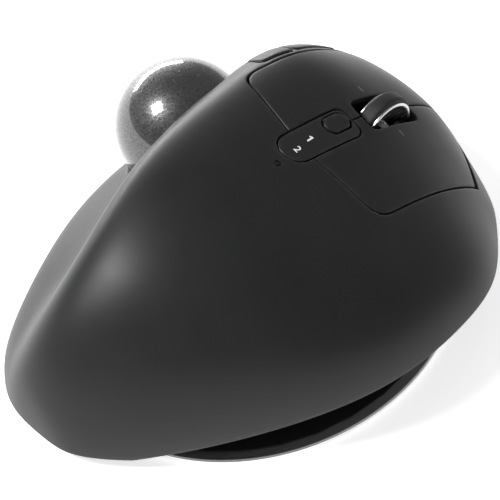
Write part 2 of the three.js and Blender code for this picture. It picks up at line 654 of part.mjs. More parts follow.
// ---- side keys ------------------------------------------------------------------------------
// Each side key has a stem that stands square to its leaning switch.
const TACT = { half: 2.4, height: 3.4 };
const SIDE_GAP = 1;
const sideFrames = new Map();
for (const name of Object.keys(SIDE_KEY_ENDS)) {
  const y = behindNose((SIDE_KEY_ENDS[name][0] + SIDE_KEY_ENDS[name][1]) / 2);
  const x = leftSeam(y) - SIDE_KEY_MARGIN - 2.4;
  const frame = new THREE.Group();
  frame.rotation.y = -LEAN;
  frame.position.set(x, y, heightAt(x, y, WALL));
  frame.updateMatrix();
  sideFrames.set(name, frame);
  tilting.add(frame);
}
for (const [name, frame] of sideFrames) {
  const place = (from, to, radius) => solid(geometryOf(bar(from, to, radius, 12)).applyMatrix4(frame.matrix));
  const stem = place([0, 0, -2.2], [0, 0, 6], 1.2).intersect(core(WALL / 2));
  const cap = wall.intersect(leaningPrism(sideKeyOutline(name, 0), 20, SKY));
  piece(`${name}_key`, cap.add(stem), softTouch(), tilting);
  const top = -2.2 - SIDE_GAP;
  const tact = block([-TACT.half, -TACT.half, top - TACT.height], [TACT.half, TACT.half, top]);
  piece(`${name}_switch`, tact, hardPlastic(), frame);
  const boardTop = top - TACT.height - FIT;
  const board = block([-3.2, -4.4, boardTop - BOARD], [3.2, 4.4, boardTop]);
  piece(`${name}_key_board`, board, circuit(), frame);
}

// ---- indicator strip, its button and light guides -----------------------------------------
const stripCore = core(0.2).subtract(core(WALL));
const GUIDES = {
  light_guide_1: [FINGER_LINE - 0.4, stripBack + 9.2],
  light_guide_2: [FINGER_LINE + 0.6, stripBack + 4],
};
const GUIDE_RADIUS = 0.9;
let strip = stripCore
  .intersect(prism(stripOutline(0), 0, SKY))
  .subtract(prism(easyOutline(SEAM), 0, SKY));
for (const place of Object.values(GUIDES)) {
  strip = strip.subtract(bar([...place, 30], [...place, SKY], GUIDE_RADIUS + FIT, 12));
}
piece('indicator_panel', strip, glossBlack(), tilting);
for (const [name, place] of Object.entries(GUIDES)) {
  const guide = bar([...place, 30], [...place, SKY], GUIDE_RADIUS, 12).intersect(stripCore);
  piece(name, guide, whiteLight(), tilting);
}
const statusGuide = bar([...STATUS, 30], [...STATUS, SKY], 0.7, 10).intersect(wall);
piece('status_light', statusGuide, whiteLight(), tilting);

const easy = new THREE.Vector2(FINGER_LINE - 0.9, stripFront - 4.6);
const easyUnder = heightAt(easy.x, easy.y, WALL);
const easyStem = bar([easy.x, easy.y, easyUnder - 1.6], [easy.x, easy.y, SKY], 1.1, 12)
  .intersect(core(WALL / 2));
const easyCap = core(0).subtract(core(WALL)).intersect(prism(easyOutline(0), 0, SKY));
piece('easy_switch_button', easyCap.add(easyStem), softTouch(), tilting);

const tray = new THREE.Group();
const stripDrop = heightAt(FINGER_LINE, stripBack + 3, WALL) - heightAt(FINGER_LINE, stripFront - 2, WALL);
tray.rotation.x = -Math.atan2(stripDrop, STRIP_LENGTH - 5);
tray.position.set(FINGER_LINE, easy.y, easyUnder - 1.6 - 0.9 - TACT.height - BOARD);
tilting.add(tray);
const indicatorBoard = block([-3.6, -15, 0], [3.4, 4, BOARD]);
piece('indicator_board', indicatorBoard, circuit(), tray);
const easyTact = block(
  [-TACT.half - 0.4, -TACT.half, BOARD + FIT], [TACT.half - 0.8, TACT.half, BOARD + TACT.height]);
piece('easy_switch_contact', easyTact, hardPlastic(), tray);

// ---- precision button beside the ball -----------------------------------------------------
const precisionCap = bar(fromPrecision(-4), fromPrecision(6), PRECISION.radius, 20).intersect(core(-0.5));
piece('precision_button', precisionCap, softTouch(), tilting);
const precisionContact = bar(fromPrecision(-7), fromPrecision(-4.8), 2.4, 12);
piece('precision_switch', fitInside(precisionContact), hardPlastic(), tilting);

// ---- ball, cup, beads and optical sensor ---------------------------------------------------
const speckledPlastic = finish(0.3, 0.6, 0x8b8d90);
piece('trackball', globe(ball.toArray(), BALL_RADIUS, 24), speckledPlastic, tilting);

const beadAxis = ballOut.clone().negate();
const beadDistance = BALL_RADIUS + FIT + BEAD_RADIUS;
const BEAD_SIDES = 8;
const beadPlaces = [90, 210, 330].map((degrees) => {
  const side = new THREE.Vector3(0, 1, 0).applyAxisAngle(beadAxis, THREE.MathUtils.degToRad(degrees));
  const direction = beadAxis.clone().multiplyScalar(Math.cos(0.85)).addScaledVector(side, Math.sin(0.85));
  return fromBall(direction, beadDistance);
});
const sensorWay = new THREE.Vector3(0.64, 0, -0.77).normalize();
const CUP_RADIUS = BALL_RADIUS + BALL_CLEARANCE;
const rimCut = bar(fromBall(ballOut, 1), fromBall(ballOut, 60), 60, 8);
let cup = globe(ball.toArray(), CUP_RADIUS + CUP_WALL, 20)
  .subtract(globe(ball.toArray(), CUP_RADIUS, 24))
  .subtract(rimCut)
  .subtract(bar(ball.toArray(), fromBall(sensorWay, 30), 3.4, 16))
  .subtract(bar(ball.toArray(), [ball.x, ball.y, ball.z - 30], EJECT_RADIUS, 20));
for (const place of beadPlaces) cup = cup.subtract(globe(place, BEAD_RADIUS + FIT, BEAD_SIDES));
piece('ball_cup', fitInside(cup), hardPlastic(), tilting);
beadPlaces.forEach((place, i) => {
  piece(`support_bead_${i + 1}`, globe(place, BEAD_RADIUS, BEAD_SIDES), whiteLight(), tilting);
});

const eye = new THREE.Group();
eye.position.copy(ball);
eye.quaternion.setFromUnitVectors(new THREE.Vector3(0, 0, -1), sensorWay);
tilting.add(eye);
const lensFar = CUP_RADIUS + CUP_WALL + 1;
piece('sensor_lens', bar([0, 0, -lensFar], [0, 0, -CUP_RADIUS], 3, 16), glossBlack(), eye);
const chipFar = lensFar + FIT + 2;
piece('sensor_chip', block([-4, -4, -chipFar], [4, 4, -lensFar - FIT]), hardPlastic(), eye);
const sensorBoardFar = chipFar + FIT + BOARD;
piece('sensor_board', block([-6, -8, -sensorBoardFar], [6, 8, -chipFar - FIT]), circuit(), eye);

// ---- wheel, carrier and cradle --------------------------------------------------------------
const wheelAt = ([x, y, z]) => [FINGER_LINE + x, wheelY + y, wheelZ + z];
const acrossWheel = (half, radius, sides) => (
  bar(wheelAt([-half, 0, 0]), wheelAt([half, 0, 0]), radius, sides));
const TYRE_DEPTH = 1.6;
const tyre = acrossWheel(TYRE_WIDTH / 2, WHEEL_RADIUS, 24)
  .subtract(acrossWheel(TYRE_WIDTH, WHEEL_RADIUS - TYRE_DEPTH, 24));
piece('wheel_tyre', tyre, rubber(), tilting);
const rimRadius = WHEEL_RADIUS - TYRE_DEPTH - 0.02;
const hub = acrossWheel(TYRE_WIDTH / 2, rimRadius, 24)
  .add(acrossWheel(HUB_WIDTH / 2, rimRadius - 0.6, 24))
  .subtract(acrossWheel(HUB_WIDTH, AXLE_RADIUS + 0.02, 16));
piece('wheel_hub', hub, silver(), tilting);

piece('wheel_axle', acrossWheel(cheekOuter, AXLE_RADIUS, 16), silver(), tilting);

const sill = -WHEEL_RADIUS - 0.8;
let carrier = block(
  wheelAt([-cheekOuter, -CHEEK.halfLength, sill - 1.6]), wheelAt([cheekOuter, CHEEK.halfLength, sill]));
for (const side of [-1, 1]) {
  const [a, b] = [side * CHEEK.inner, side * cheekOuter].sort((p, q) => p - q);
  carrier = carrier.add(block(
    wheelAt([a, -CHEEK.halfLength, sill - 0.2]), wheelAt([b, CHEEK.halfLength, CHEEK.top])));
}
carrier = carrier.subtract(acrossWheel(cheekOuter + 1, AXLE_RADIUS + FIT, 16));
piece('wheel_carrier', carrier, hardPlastic(), tilting);

const CRADLE = { drop: 0, halfHeight: 2, inner: cheekOuter + 0.5, thickness: 1.3, clearance: 1.3 };
const cradleOuter = CRADLE.inner + CRADLE.thickness;
const cradleReach = WHEEL_RADIUS + 0.8;
const keyUnderside = heightAt(
  FINGER_LINE + cradleOuter, wheelY + cradleReach + CRADLE.thickness, WALL) - wheelZ;
CRADLE.drop = keyUnderside - CRADLE.clearance - CRADLE.halfHeight;
const low = CRADLE.drop - CRADLE.halfHeight;
const high = CRADLE.drop + CRADLE.halfHeight;
const cradleEnd = cradleReach + CRADLE.thickness;
let cradle = block(wheelAt([-cradleOuter, -cradleEnd, low]), wheelAt([cradleOuter, cradleEnd, high]))
  .subtract(block(
    wheelAt([-CRADLE.inner, -cradleReach, low - 1]), wheelAt([CRADLE.inner, cradleReach, high + 1])));
for (const side of [-1, 1]) {
  const from = wheelAt([0, side * (cradleReach + 0.5), CRADLE.drop]);
  cradle = cradle.add(bar(from, wheelAt([0, side * (cradleEnd + 2.2), CRADLE.drop]), 1.1, 14));
}
piece('wheel_cradle', cradle, hardPlastic(), tilting);

// ---- front frame, boards and switches ---------------------------------------------------------
const buttonBoardLow = switchLow - FIT - BOARD;
const frameTop = buttonBoardLow - FIT;
const windowHalf = cradleOuter + 1.6;
const wheelWindow = block(
  [FINGER_LINE - windowHalf, wheelY - cradleEnd - 0.5, 0],
  [FINGER_LINE + windowHalf, wheelY + cradleEnd + 0.5, SKY]);
const frameBox = { x0: -21, x1: 27, y0: wheelY - cradleEnd - 4, y1: wheelY + cradleEnd + 3 };
let frame = block([frameBox.x0, frameBox.y0, frameTop - 2], [frameBox.x1, frameBox.y1, frameTop]);
for (const side of [-1, 1]) {
  const inner = wheelY + side * (cradleEnd + 0.5);
  const outer = wheelY + side * (cradleEnd + 2.6);
  const [y0, y1] = [inner, outer].sort((p, q) => p - q);
  const top = wheelZ + CRADLE.drop + 2.6;
  frame = frame.add(block([FINGER_LINE - 4, y0, frameTop - 2], [FINGER_LINE + 4, y1, top]));
}
for (const [x, y] of [[frameBox.x0 + 2, frameBox.y0 + 3], [frameBox.x1 - 2, frameBox.y0 + 3],
  [frameBox.x0 + 2, frameBox.y1 - 8], [frameBox.x1 - 2, frameBox.y1 - 8]]) {
  frame = frame.add(block([x - 2, y - 2, 0], [x + 2, y + 2, frameTop - 1]));
}
const pivotBore = bar(
  wheelAt([0, -cradleEnd - 6, CRADLE.drop]), wheelAt([0, cradleEnd + 6, CRADLE.drop]), 1.1 + FIT, 14);
frame = frame.intersect(underKeys).subtract(wheelWindow).subtract(pivotBore);
piece('front_frame', frame, hardPlastic(), tilting);

const lugRoom = block(
  [FINGER_LINE - 4 - FIT, wheelY - cradleEnd - 3, 0],
  [FINGER_LINE + 4 + FIT, wheelY + cradleEnd + 3, SKY]);
const buttonBoard = block(
  [frameBox.x0 + 1, frameBox.y0 + 0.5, buttonBoardLow],
  [frameBox.x1 - 1, frameBox.y1 - 5, buttonBoardLow + BOARD]);
const keyBoard = buttonBoard.intersect(underKeys).subtract(wheelWindow).subtract(lugRoom);
piece('button_board', keyBoard, circuit(), tilting);

keySwitches.forEach(([side, x]) => {
  const [length, width, height] = SWITCH_SIZE;
  const housing = block(
    [x - width / 2, switchY - length / 2, switchLow],
    [x + width / 2, switchY + length / 2, switchLow + height]);
  const plungerWell = bar([x, switchY, switchLow + height - 2.2], [x, switchY, SKY], 1.3, 12);
  piece(`${side}_microswitch`, housing.subtract(plungerWell), hardPlastic(), tilting);
  const plungerLow = switchLow + height - 1.2;
  const plunger = bar([x, switchY, plungerLow], [x, switchY, switchLow + height + PLUNGER_HEIGHT], 1, 12);
  piece(`${side}_plunger`, plunger, finish(0.4, 0, 0xb33a30), tilting);
});

let mainBoard = fitInside(block([-9, behindNose(90), boardLow], [21, NOSE, boardLow + BOARD]));
for (const y of HINGE_STATIONS) mainBoard = mainBoard.subtract(hingeHousing(y, FIT));
piece('main_board', mainBoard, circuit(), tilting);

const middleTop = wheelZ + sill - 1.6 - 0.8;
const middleLow = boardLow + BOARD + FIT;
const middleSwitch = block(
  [FINGER_LINE - 3, wheelY - 3, middleLow], [FINGER_LINE + 3, wheelY + 3, middleLow + TACT.height])
  .add(bar([FINGER_LINE, wheelY, middleLow + 1], [FINGER_LINE, wheelY, middleTop], 1.6, 12));
piece('middle_switch', middleSwitch, hardPlastic(), tilting);

const portShell = block(
  [portX - PORT.halfWidth, NOSE - 12, PORT.low],
  [portX + PORT.halfWidth, NOSE + 5, PORT.low + PORT.height])
  .subtract(block(
    [portX - PORT.halfWidth + 0.5, NOSE - 11, PORT.low + 0.5],
    [portX + PORT.halfWidth - 0.5, NOSE + 6, PORT.low + PORT.height - 0.5]))
  .intersect(core(0.8));
piece('charging_port', portShell, silver(), tilting);

// ---- battery, magnets, power switch and screws -------------------------------------------------
const TRAY = { x0: -8, x1: 20, y0: behindNose(92), y1: behindNose(56), floor: 0.9, wall: 1, height: 3 };
const trayLow = boardLow + BOARD + FIT;
const batteryTray = block([TRAY.x0, TRAY.y0, trayLow], [TRAY.x1, TRAY.y1, trayLow + TRAY.height])
  .subtract(block(
    [TRAY.x0 + TRAY.wall, TRAY.y0 + TRAY.wall, trayLow + TRAY.floor],
    [TRAY.x1 - TRAY.wall, TRAY.y1 - TRAY.wall, trayLow + TRAY.height + 1]));
piece('battery_tray', batteryTray, hardPlastic(), tilting);
const cellInset = TRAY.wall + FIT;
const cellLow = trayLow + TRAY.floor + FIT;
const cell = new THREE.ExtrudeGeometry(
  roundedRectangle(TRAY.x0 + cellInset, TRAY.y0 + cellInset, TRAY.x1 - cellInset, TRAY.y1 - cellInset, 2),
  { depth: 6, bevelEnabled: false, curveSegments: 4 });
piece('battery', solid(cell.translate(0, 0, cellLow)), silver(), tilting);

const MAGNET = { radius: 4, thickness: 1.6 };
const magnetDisc = (x, y, z) => bar([x, y, z], [x, y, z + MAGNET.thickness], MAGNET.radius, 20);
[-1, 1].forEach((side, i) => {
  const lift = FLOOR + FIT;
  piece(`flat_magnet_${i + 1}`, magnetDisc(-3, side * 28, UNDERSIDE + lift), silver(), tilting);
  piece(`slope_magnet_${i + 1}`, magnetDisc(24, side * 9, lift), silver(), slant);
});

const slider = block(
  [SLIDER.along - SLIDER.width / 2, SLIDER.y, 0.15],
  [SLIDER.along + SLIDER.width / 2, SLIDER.y + SLIDER.length, FLOOR + 0.6]);
piece('power_slider', slider, finish(0.5, 0, 0x4e7a4a), slant);
const powerSwitch = block(
  [SLIDER.along - 3.6, SLIDER.y - 1, FLOOR + 1],
  [SLIDER.along + 3.6, SLIDER.y + SLIDER.length + SLIDER.travel + 1, FLOOR + 4]);
piece('power_switch', powerSwitch, silver(), slant);

SCREW_PLACES.forEach(([x, y], i) => {
  const head = screwHead(x);
  const screw = bar([x, y, head], [x, y, head + 1.3], 2.1, 16)
    .add(bar([x, y, head + 1], [x, y, head + 9.6], SCREW_RADIUS, 12));
  piece(`case_screw_${i + 1}`, screw, steel(), tilting);
});

export default device;
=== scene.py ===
"""Looks of a wireless thumb-ball pointing device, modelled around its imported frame, in metres."""
import json
import math

import bmesh
import bpy
import numpy as np
from mathutils import Matrix, Vector


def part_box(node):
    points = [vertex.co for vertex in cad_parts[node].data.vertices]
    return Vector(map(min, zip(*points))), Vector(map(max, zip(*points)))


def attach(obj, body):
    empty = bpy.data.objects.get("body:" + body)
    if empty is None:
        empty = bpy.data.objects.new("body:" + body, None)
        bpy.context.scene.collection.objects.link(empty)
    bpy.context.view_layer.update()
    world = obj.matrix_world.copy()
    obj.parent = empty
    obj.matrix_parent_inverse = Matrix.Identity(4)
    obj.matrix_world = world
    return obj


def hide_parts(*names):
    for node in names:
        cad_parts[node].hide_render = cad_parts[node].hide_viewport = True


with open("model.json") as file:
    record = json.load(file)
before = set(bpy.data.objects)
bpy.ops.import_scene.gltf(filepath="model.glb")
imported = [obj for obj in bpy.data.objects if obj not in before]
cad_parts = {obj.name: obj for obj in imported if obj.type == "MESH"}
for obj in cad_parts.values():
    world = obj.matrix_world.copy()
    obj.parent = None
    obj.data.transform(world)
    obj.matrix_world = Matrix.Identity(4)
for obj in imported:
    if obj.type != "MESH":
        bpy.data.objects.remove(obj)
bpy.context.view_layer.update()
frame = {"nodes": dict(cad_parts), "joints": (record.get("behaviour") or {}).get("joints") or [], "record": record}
MM = 0.001

# ---- places and sizes taken from the frame -------------------------------------------------


def middle(node):
    """Centre of a CAD node's box."""
    low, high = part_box(node)
    return (low + high) / 2


def limit_of(joint):
    """Upper limit of a hinge, in radians."""
    found = [j for j in frame["joints"] if j["name"] == joint]
    return math.radians(found[0]["range_deg"][1])


COVER_LOW, COVER_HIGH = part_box("top_cover")
NOSE = COVER_HIGH.y
STRIP_LOW, STRIP_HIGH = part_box("indicator_panel")
STRIP_HALF = (STRIP_HIGH.x - STRIP_LOW.x) / 2
FINGER_LINE = (STRIP_HIGH.x + STRIP_LOW.x) / 2
KEYS_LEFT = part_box("left_key")[0].x
KEYS_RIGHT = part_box("right_key")[1].x
KEYS_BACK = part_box("right_key")[0].y
WHEEL = middle("wheel_axle")
WHEEL_RADIUS = (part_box("wheel_tyre")[1].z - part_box("wheel_tyre")[0].z) / 2
TYRE_HALF = (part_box("wheel_tyre")[1].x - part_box("wheel_tyre")[0].x) / 2
HUB_HALF = (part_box("wheel_hub")[1].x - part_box("wheel_hub")[0].x) / 2
AXLE_RADIUS = (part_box("wheel_axle")[1].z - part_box("wheel_axle")[0].z) / 2
BALL = middle("trackball")
BALL_RADIUS = (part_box("trackball")[1].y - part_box("trackball")[0].y) / 2
HINGE = middle("hinge_pin_rear")
UNDERSIDE = COVER_LOW.z
TILT = limit_of("body_tilt")

WALL = 2 * MM
SEAM = 0.4 * MM
BALL_GAP = 0.7 * MM
KEY_NOSE_HEIGHT = 16 * MM
KEY_NOSE_GAP = 1.2 * MM
FAR = 1.0

RIGHT = Vector((1, 0, 0))
FORWARD = Vector((0, 1, 0))
UP = Vector((0, 0, 1))
BALL_OUT = Vector((-0.857, 0, 0.514)).normalized()
LEAN_ACROSS = Vector((0.8, 0, 0.6))

# Edge rounding of the moulded pieces.
SHELL_EDGE = 0.5 * MM
SEAM_EDGE = 0.35 * MM
BALL_LIP = 1.1 * MM

# ---- small helpers -------------------------------------------------------------------------------


def show(name, data):
    """New object in the scene, holding this mesh, lamp, lens or lettering."""
    thing = bpy.data.objects.new(name, data)
    bpy.context.scene.collection.objects.link(thing)
    return thing


def mesh_of(name, sheet):
    """Mesh made from a finished bmesh, which is freed."""
    mesh = bpy.data.meshes.new(name)
    sheet.to_mesh(mesh)
    sheet.free()
    return mesh


def grow_up(sheet, faces, rise):
    """Extrudes flat faces straight up into a slab."""
    grown = bmesh.ops.extrude_face_region(sheet, geom=faces, use_keep_orig=True)
    top = [item for item in grown["geom"] if isinstance(item, bmesh.types.BMVert)]
    bmesh.ops.translate(sheet, verts=top, vec=(0, 0, rise))
    bmesh.ops.recalc_face_normals(sheet, faces=sheet.faces)


# ---- camera ----------------------------------------------------------------------------------
AZIMUTH = math.radians(45)
ELEVATION = math.radians(50)
CAMERA_DISTANCE = 0.6
SENSOR = 36
VIEW_WIDTH = 0.12346
AIM = Vector((-1.26 * MM, -0.76 * MM, 0))
AIM_RISE = 12.35 * MM


def make_camera():
    """Long lens behind the right of the heel, looking down on the keys."""
    back = Vector((
        math.sin(AZIMUTH) * math.cos(ELEVATION),
        -math.cos(AZIMUTH) * math.cos(ELEVATION),
        math.sin(ELEVATION)))
    right = Vector((math.cos(AZIMUTH), math.sin(AZIMUTH), 0))
    up = back.cross(right)
    target = AIM + up * AIM_RISE
    lens = bpy.data.cameras.new("camera")
    lens.sensor_width = SENSOR
    lens.lens = SENSOR * CAMERA_DISTANCE / VIEW_WIDTH
    lens.clip_start = 0.01
    lens.clip_end = 20
    camera = show("camera", lens)
    turn = Matrix((right, up, back)).transposed().to_4x4()
    camera.matrix_world = Matrix.Translation(target + back * CAMERA_DISTANCE) @ turn
    bpy.context.scene.camera = camera


make_camera()
bpy.context.scene.view_settings.view_transform = "Standard"

# ---- shader groups -----------------------------------------------------------------------------


def new_group(name, inputs, outputs):
    """Empty shader group with named sockets; each input is (name, kind, default)."""
    group = bpy.data.node_groups.new(name, "ShaderNodeTree")
    for label, kind, default in inputs:
        socket = group.interface.new_socket(name=label, in_out="INPUT", socket_type=kind)
        socket.default_value = default
    for label, kind in outputs:
        group.interface.new_socket(name=label, in_out="OUTPUT", socket_type=kind)
    return group, group.nodes.new("NodeGroupInput"), group.nodes.new("NodeGroupOutput")


def add(tree, kind, links=(), **settings):
    """New node; settings are its own properties and links fill its sockets by name or number."""
    node = tree.nodes.new(kind)
    for key, value in settings.items():
        setattr(node, key, value)
    for key, value in dict(links).items():
        socket = node.inputs[key]
        if isinstance(value, bpy.types.NodeSocket):
            tree.links.new(value, socket)
        else:
            socket.default_value = value
    return node


FLOAT = "NodeSocketFloat"
COLOUR = "NodeSocketColor"


def ramp(tree, value, low, high, to_low=0.0, to_high=1.0):
    """Value carried from one range to another, held at its ends."""
    links = {"Value": value, "From Min": low, "From Max": high, "To Min": to_low, "To Max": to_high}
    return add(tree, "ShaderNodeMapRange", links).outputs["Result"]


def noise(tree, place, scale, detail=3.0, roughness=0.5):
    """Cloudy pattern between nought and one."""
    links = {"Vector": place, "Scale": scale, "Detail": detail, "Roughness": roughness}
    return add(tree, "ShaderNodeTexNoise", links).outputs["Fac"]


def object_place(tree):
    """Object coordinates, on which every pattern is laid."""
    return add(tree, "ShaderNodeTexCoord").outputs["Object"]


def make_grain():
    """Fine moulded or sprayed grain, as a height for a bump."""
    group, ins, outs = new_group(
        "grain", [("Scale", FLOAT, 4000.0), ("Coarse", FLOAT, 0.3)], [("Height", FLOAT)])
    place = object_place(group)
    fine = noise(group, place, ins.outputs["Scale"], 2.0)
    slow = add(group, "ShaderNodeMath", {0: ins.outputs["Scale"], 1: 0.12}, operation="MULTIPLY")
    broad = noise(group, place, slow.outputs[0], 3.0)
    mixed = add(group, "ShaderNodeMix", {0: ins.outputs["Coarse"], 2: fine, 3: broad})
    group.links.new(mixed.outputs[0], outs.inputs["Height"])
    return group


def make_drift():
    """Slow drift between two shades of one colour."""
    group, ins, outs = new_group(
        "colour_drift",
        [("Shade A", COLOUR, (0, 0, 0, 1)), ("Shade B", COLOUR, (0, 0, 0, 1)), ("Scale", FLOAT, 60.0)],
        [("Colour", COLOUR)])
    cloud = noise(group, object_place(group), ins.outputs["Scale"], 4.0)
    share = ramp(group, cloud, 0.35, 0.65)
    links = {0: share, 6: ins.outputs["Shade A"], 7: ins.outputs["Shade B"]}
    mixed = add(group, "ShaderNodeMix", links, data_type="RGBA")
    group.links.new(mixed.outputs[2], outs.inputs["Colour"])
    return group


def make_handling():
    """Roughness that wanders where hands have smoothed and smudged a surface."""
    group, ins, outs = new_group(
        "handling",
        [("Smooth", FLOAT, 0.4), ("Rough", FLOAT, 0.6), ("Scale", FLOAT, 45.0)],
        [("Roughness", FLOAT)])
    place = object_place(group)
    patches = noise(group, place, ins.outputs["Scale"], 5.0, 0.6)
    result = ramp(group, patches, 0.3, 0.7, ins.outputs["Smooth"], ins.outputs["Rough"])
    group.links.new(result, outs.inputs["Roughness"])
    return group


def make_edge_wear():
    """Mask of the rubbed line along a piece's moulded edges, broken up by noise."""
    group, ins, outs = new_group("edge_wear", [("Amount", FLOAT, 0.5)], [("Mask", FLOAT)])
    rim = add(group, "ShaderNodeAttribute", attribute_name="rim").outputs["Fac"]
    patches = noise(group, object_place(group), 350.0, 3.0)
    broken = ramp(group, patches, 0.3, 0.6)
    worn = add(group, "ShaderNodeMath", {0: rim, 1: broken}, operation="MULTIPLY")
    links = {0: worn.outputs[0], 1: ins.outputs["Amount"]}
    mask = add(group, "ShaderNodeMath", links, operation="MULTIPLY")
    group.links.new(mask.outputs[0], outs.inputs["Mask"])
    return group


def make_dust():
    """Sparse mask of settled dust specks."""
    group, ins, outs = new_group(
        "dust", [("Scale", FLOAT, 1500.0), ("Amount", FLOAT, 0.3)], [("Mask", FLOAT)])
    links = {"Vector": object_place(group), "Scale": ins.outputs["Scale"]}
    cells = add(group, "ShaderNodeTexVoronoi", links)
    speck = ramp(group, cells.outputs["Distance"], 0.1, 0.16, 1.0, 0.0)
    where = ramp(group, noise(group, object_place(group), 180.0), 0.55, 0.7)
    both = add(group, "ShaderNodeMath", {0: speck, 1: where}, operation="MULTIPLY")
    links = {0: both.outputs[0], 1: ins.outputs["Amount"]}
    mask = add(group, "ShaderNodeMath", links, operation="MULTIPLY")
    group.links.new(mask.outputs[0], outs.inputs["Mask"])
    return group


def make_flakes():
    """Metallic flakes: each cell has its own brightness and its own tilt."""
    group, ins, outs = new_group(
        "flakes", [("Scale", FLOAT, 3000.0)], [("Sparkle", FLOAT), ("Height", FLOAT)])
    links = {"Vector": object_place(group), "Scale": ins.outputs["Scale"]}
    cells = add(group, "ShaderNodeTexVoronoi", links)
    parts = add(group, "ShaderNodeSeparateColor", {"Color": cells.outputs["Color"]})
    group.links.new(parts.outputs[0], outs.inputs["Sparkle"])
    group.links.new(parts.outputs[1], outs.inputs["Height"])
    return group


def make_brushing():
    """Fine parallel scratches along Y, as a height and as a shade."""
    group, ins, outs = new_group(
        "brushing", [("Scale", FLOAT, 900.0)], [("Height", FLOAT), ("Shade", FLOAT)])
    links = {"Vector": object_place(group), "Scale": (1.0, 0.03, 1.0)}
    stretched = add(group, "ShaderNodeMapping", links).outputs["Vector"]
    lines = noise(group, stretched, ins.outputs["Scale"], 4.0, 0.7)
    group.links.new(lines, outs.inputs["Height"])
    group.links.new(ramp(group, lines, 0.3, 0.7), outs.inputs["Shade"])
    return group


GRAIN = make_grain()
DRIFT = make_drift()
HANDLING = make_handling()
EDGE_WEAR = make_edge_wear()
DUST = make_dust()
FLAKES = make_flakes()
BRUSHING = make_brushing()

# ---- materials ---------------------------------------------------------------------------------


def use(tree, group, **values):
    """A shader group placed in a material; underscores in names stand for spaces."""
    node = tree.nodes.new("ShaderNodeGroup")
    node.node_tree = group
    for key, value in values.items():
        node.inputs[key.replace("_", " ")].default_value = value
    return node.outputs


def start_material(name, **fixed):
    """Material with its Principled shader; fixed values go straight on its sockets."""
    material = bpy.data.materials.new(name)
    material.use_nodes = True
    tree = material.node_tree
    shader = tree.nodes["Principled BSDF"]
    for key, value in fixed.items():
        shader.inputs[key.replace("_", " ")].default_value = value
    return material, tree, shader


def set_bump(tree, shader, height, distance, strength=1.0):
    """Bump on a shader's normal."""
    bump = add(tree, "ShaderNodeBump", {"Height": height, "Distance": distance, "Strength": strength})
    tree.links.new(bump.outputs["Normal"], shader.inputs["Normal"])


def mix_colour(tree, share, first, second):
    """First colour, with a share of the second laid over it."""
    links = {0: share, 6: first, 7: second}
    return add(tree, "ShaderNodeMix", links, data_type="RGBA").outputs[2]


def grey(value, blue=1.0):
    """Near-neutral colour, a little blue where blue is over one."""
    return (value, value * (1 + (blue - 1) / 2), value * blue, 1)


def moulded(name, dark, light, smooth, rough, grain, depth, worn=None, amount=0.0, dust=0.0, **fixed):
    """Moulded plastic or rubber: drifting shade, handled roughness, grain, rubbed edges and dust."""
    material, tree, shader = start_material(name, **fixed)
    colour = use(tree, DRIFT, Shade_A=dark, Shade_B=light)["Colour"]
    roughness = use(tree, HANDLING, Smooth=smooth, Rough=rough)["Roughness"]
    if amount:
        mask = use(tree, EDGE_WEAR, Amount=amount)["Mask"]
        colour = mix_colour(tree, mask, colour, worn)
    if dust:
        specks = use(tree, DUST, Amount=dust)["Mask"]
        colour = mix_colour(tree, specks, colour, grey(0.35))
    tree.links.new(colour, shader.inputs["Base Color"])
    tree.links.new(roughness, shader.inputs["Roughness"])
    set_bump(tree, shader, use(tree, GRAIN, Scale=grain)["Height"], depth)
    return material


def brushed(name, dark, light, smooth, rough, scale, depth, **fixed):
    """Metal with fine parallel scratches."""
    material, tree, shader = start_material(name, Metallic=1.0, **fixed)
    lines = use(tree, BRUSHING, Scale=scale)
    tree.links.new(mix_colour(tree, lines["Shade"], dark, light), shader.inputs["Base Color"])
    roughness = ramp(tree, lines["Shade"], 0.0, 1.0, smooth, rough)
    tree.links.new(roughness, shader.inputs["Roughness"])
    set_bump(tree, shader, lines["Height"], depth)
    return material


def make_pearl():
    """Grey resin full of metallic flakes under a clear polished coat."""
    material, tree, shader = start_material(
        "ball_pearl", Coat_Weight=1.0, Coat_Roughness=0.02, Coat_IOR=1.55)
    flakes = use(tree, FLAKES, Scale=3600.0)
    colour = mix_colour(tree, flakes["Sparkle"], grey(0.02), grey(0.11))
    tree.links.new(colour, shader.inputs["Base Color"])
    tree.links.new(ramp(tree, flakes["Sparkle"], 0.1, 0.9, 0.55, 0.95), shader.inputs["Metallic"])
    tree.links.new(ramp(tree, flakes["Height"], 0.0, 1.0, 0.24, 0.44), shader.inputs["Roughness"])
    set_bump(tree, shader, flakes["Height"], 0.012 * MM, 0.9)
    return material


def make_board():
    """Solder mask over copper tracks, with tinned pads."""
    material, tree, shader = start_material("circuit_board", Coat_Weight=0.4, Coat_Roughness=0.2)
    place = object_place(tree)
    tracks = add(tree, "ShaderNodeTexBrick", {
        "Vector": place, "Scale": 260.0, "Mortar Size": 0.012,
        "Color1": (0.02, 0.11, 0.045, 1), "Color2": (0.015, 0.09, 0.035, 1),
        "Mortar": (0.04, 0.2, 0.08, 1)}, offset=0.35)
    dots = add(tree, "ShaderNodeTexVoronoi", {"Vector": place, "Scale": 320.0, "Randomness": 0.35})
    pads = ramp(tree, dots.outputs["Distance"], 0.16, 0.2, 1.0, 0.0)
    colour = mix_colour(tree, pads, tracks.outputs["Color"], (0.5, 0.45, 0.32, 1))
    tree.links.new(colour, shader.inputs["Base Color"])
    tree.links.new(ramp(tree, pads, 0.0, 1.0, 0.4, 0.25), shader.inputs["Roughness"])
    set_bump(tree, shader, tracks.outputs["Fac"], 0.03 * MM)
    return material


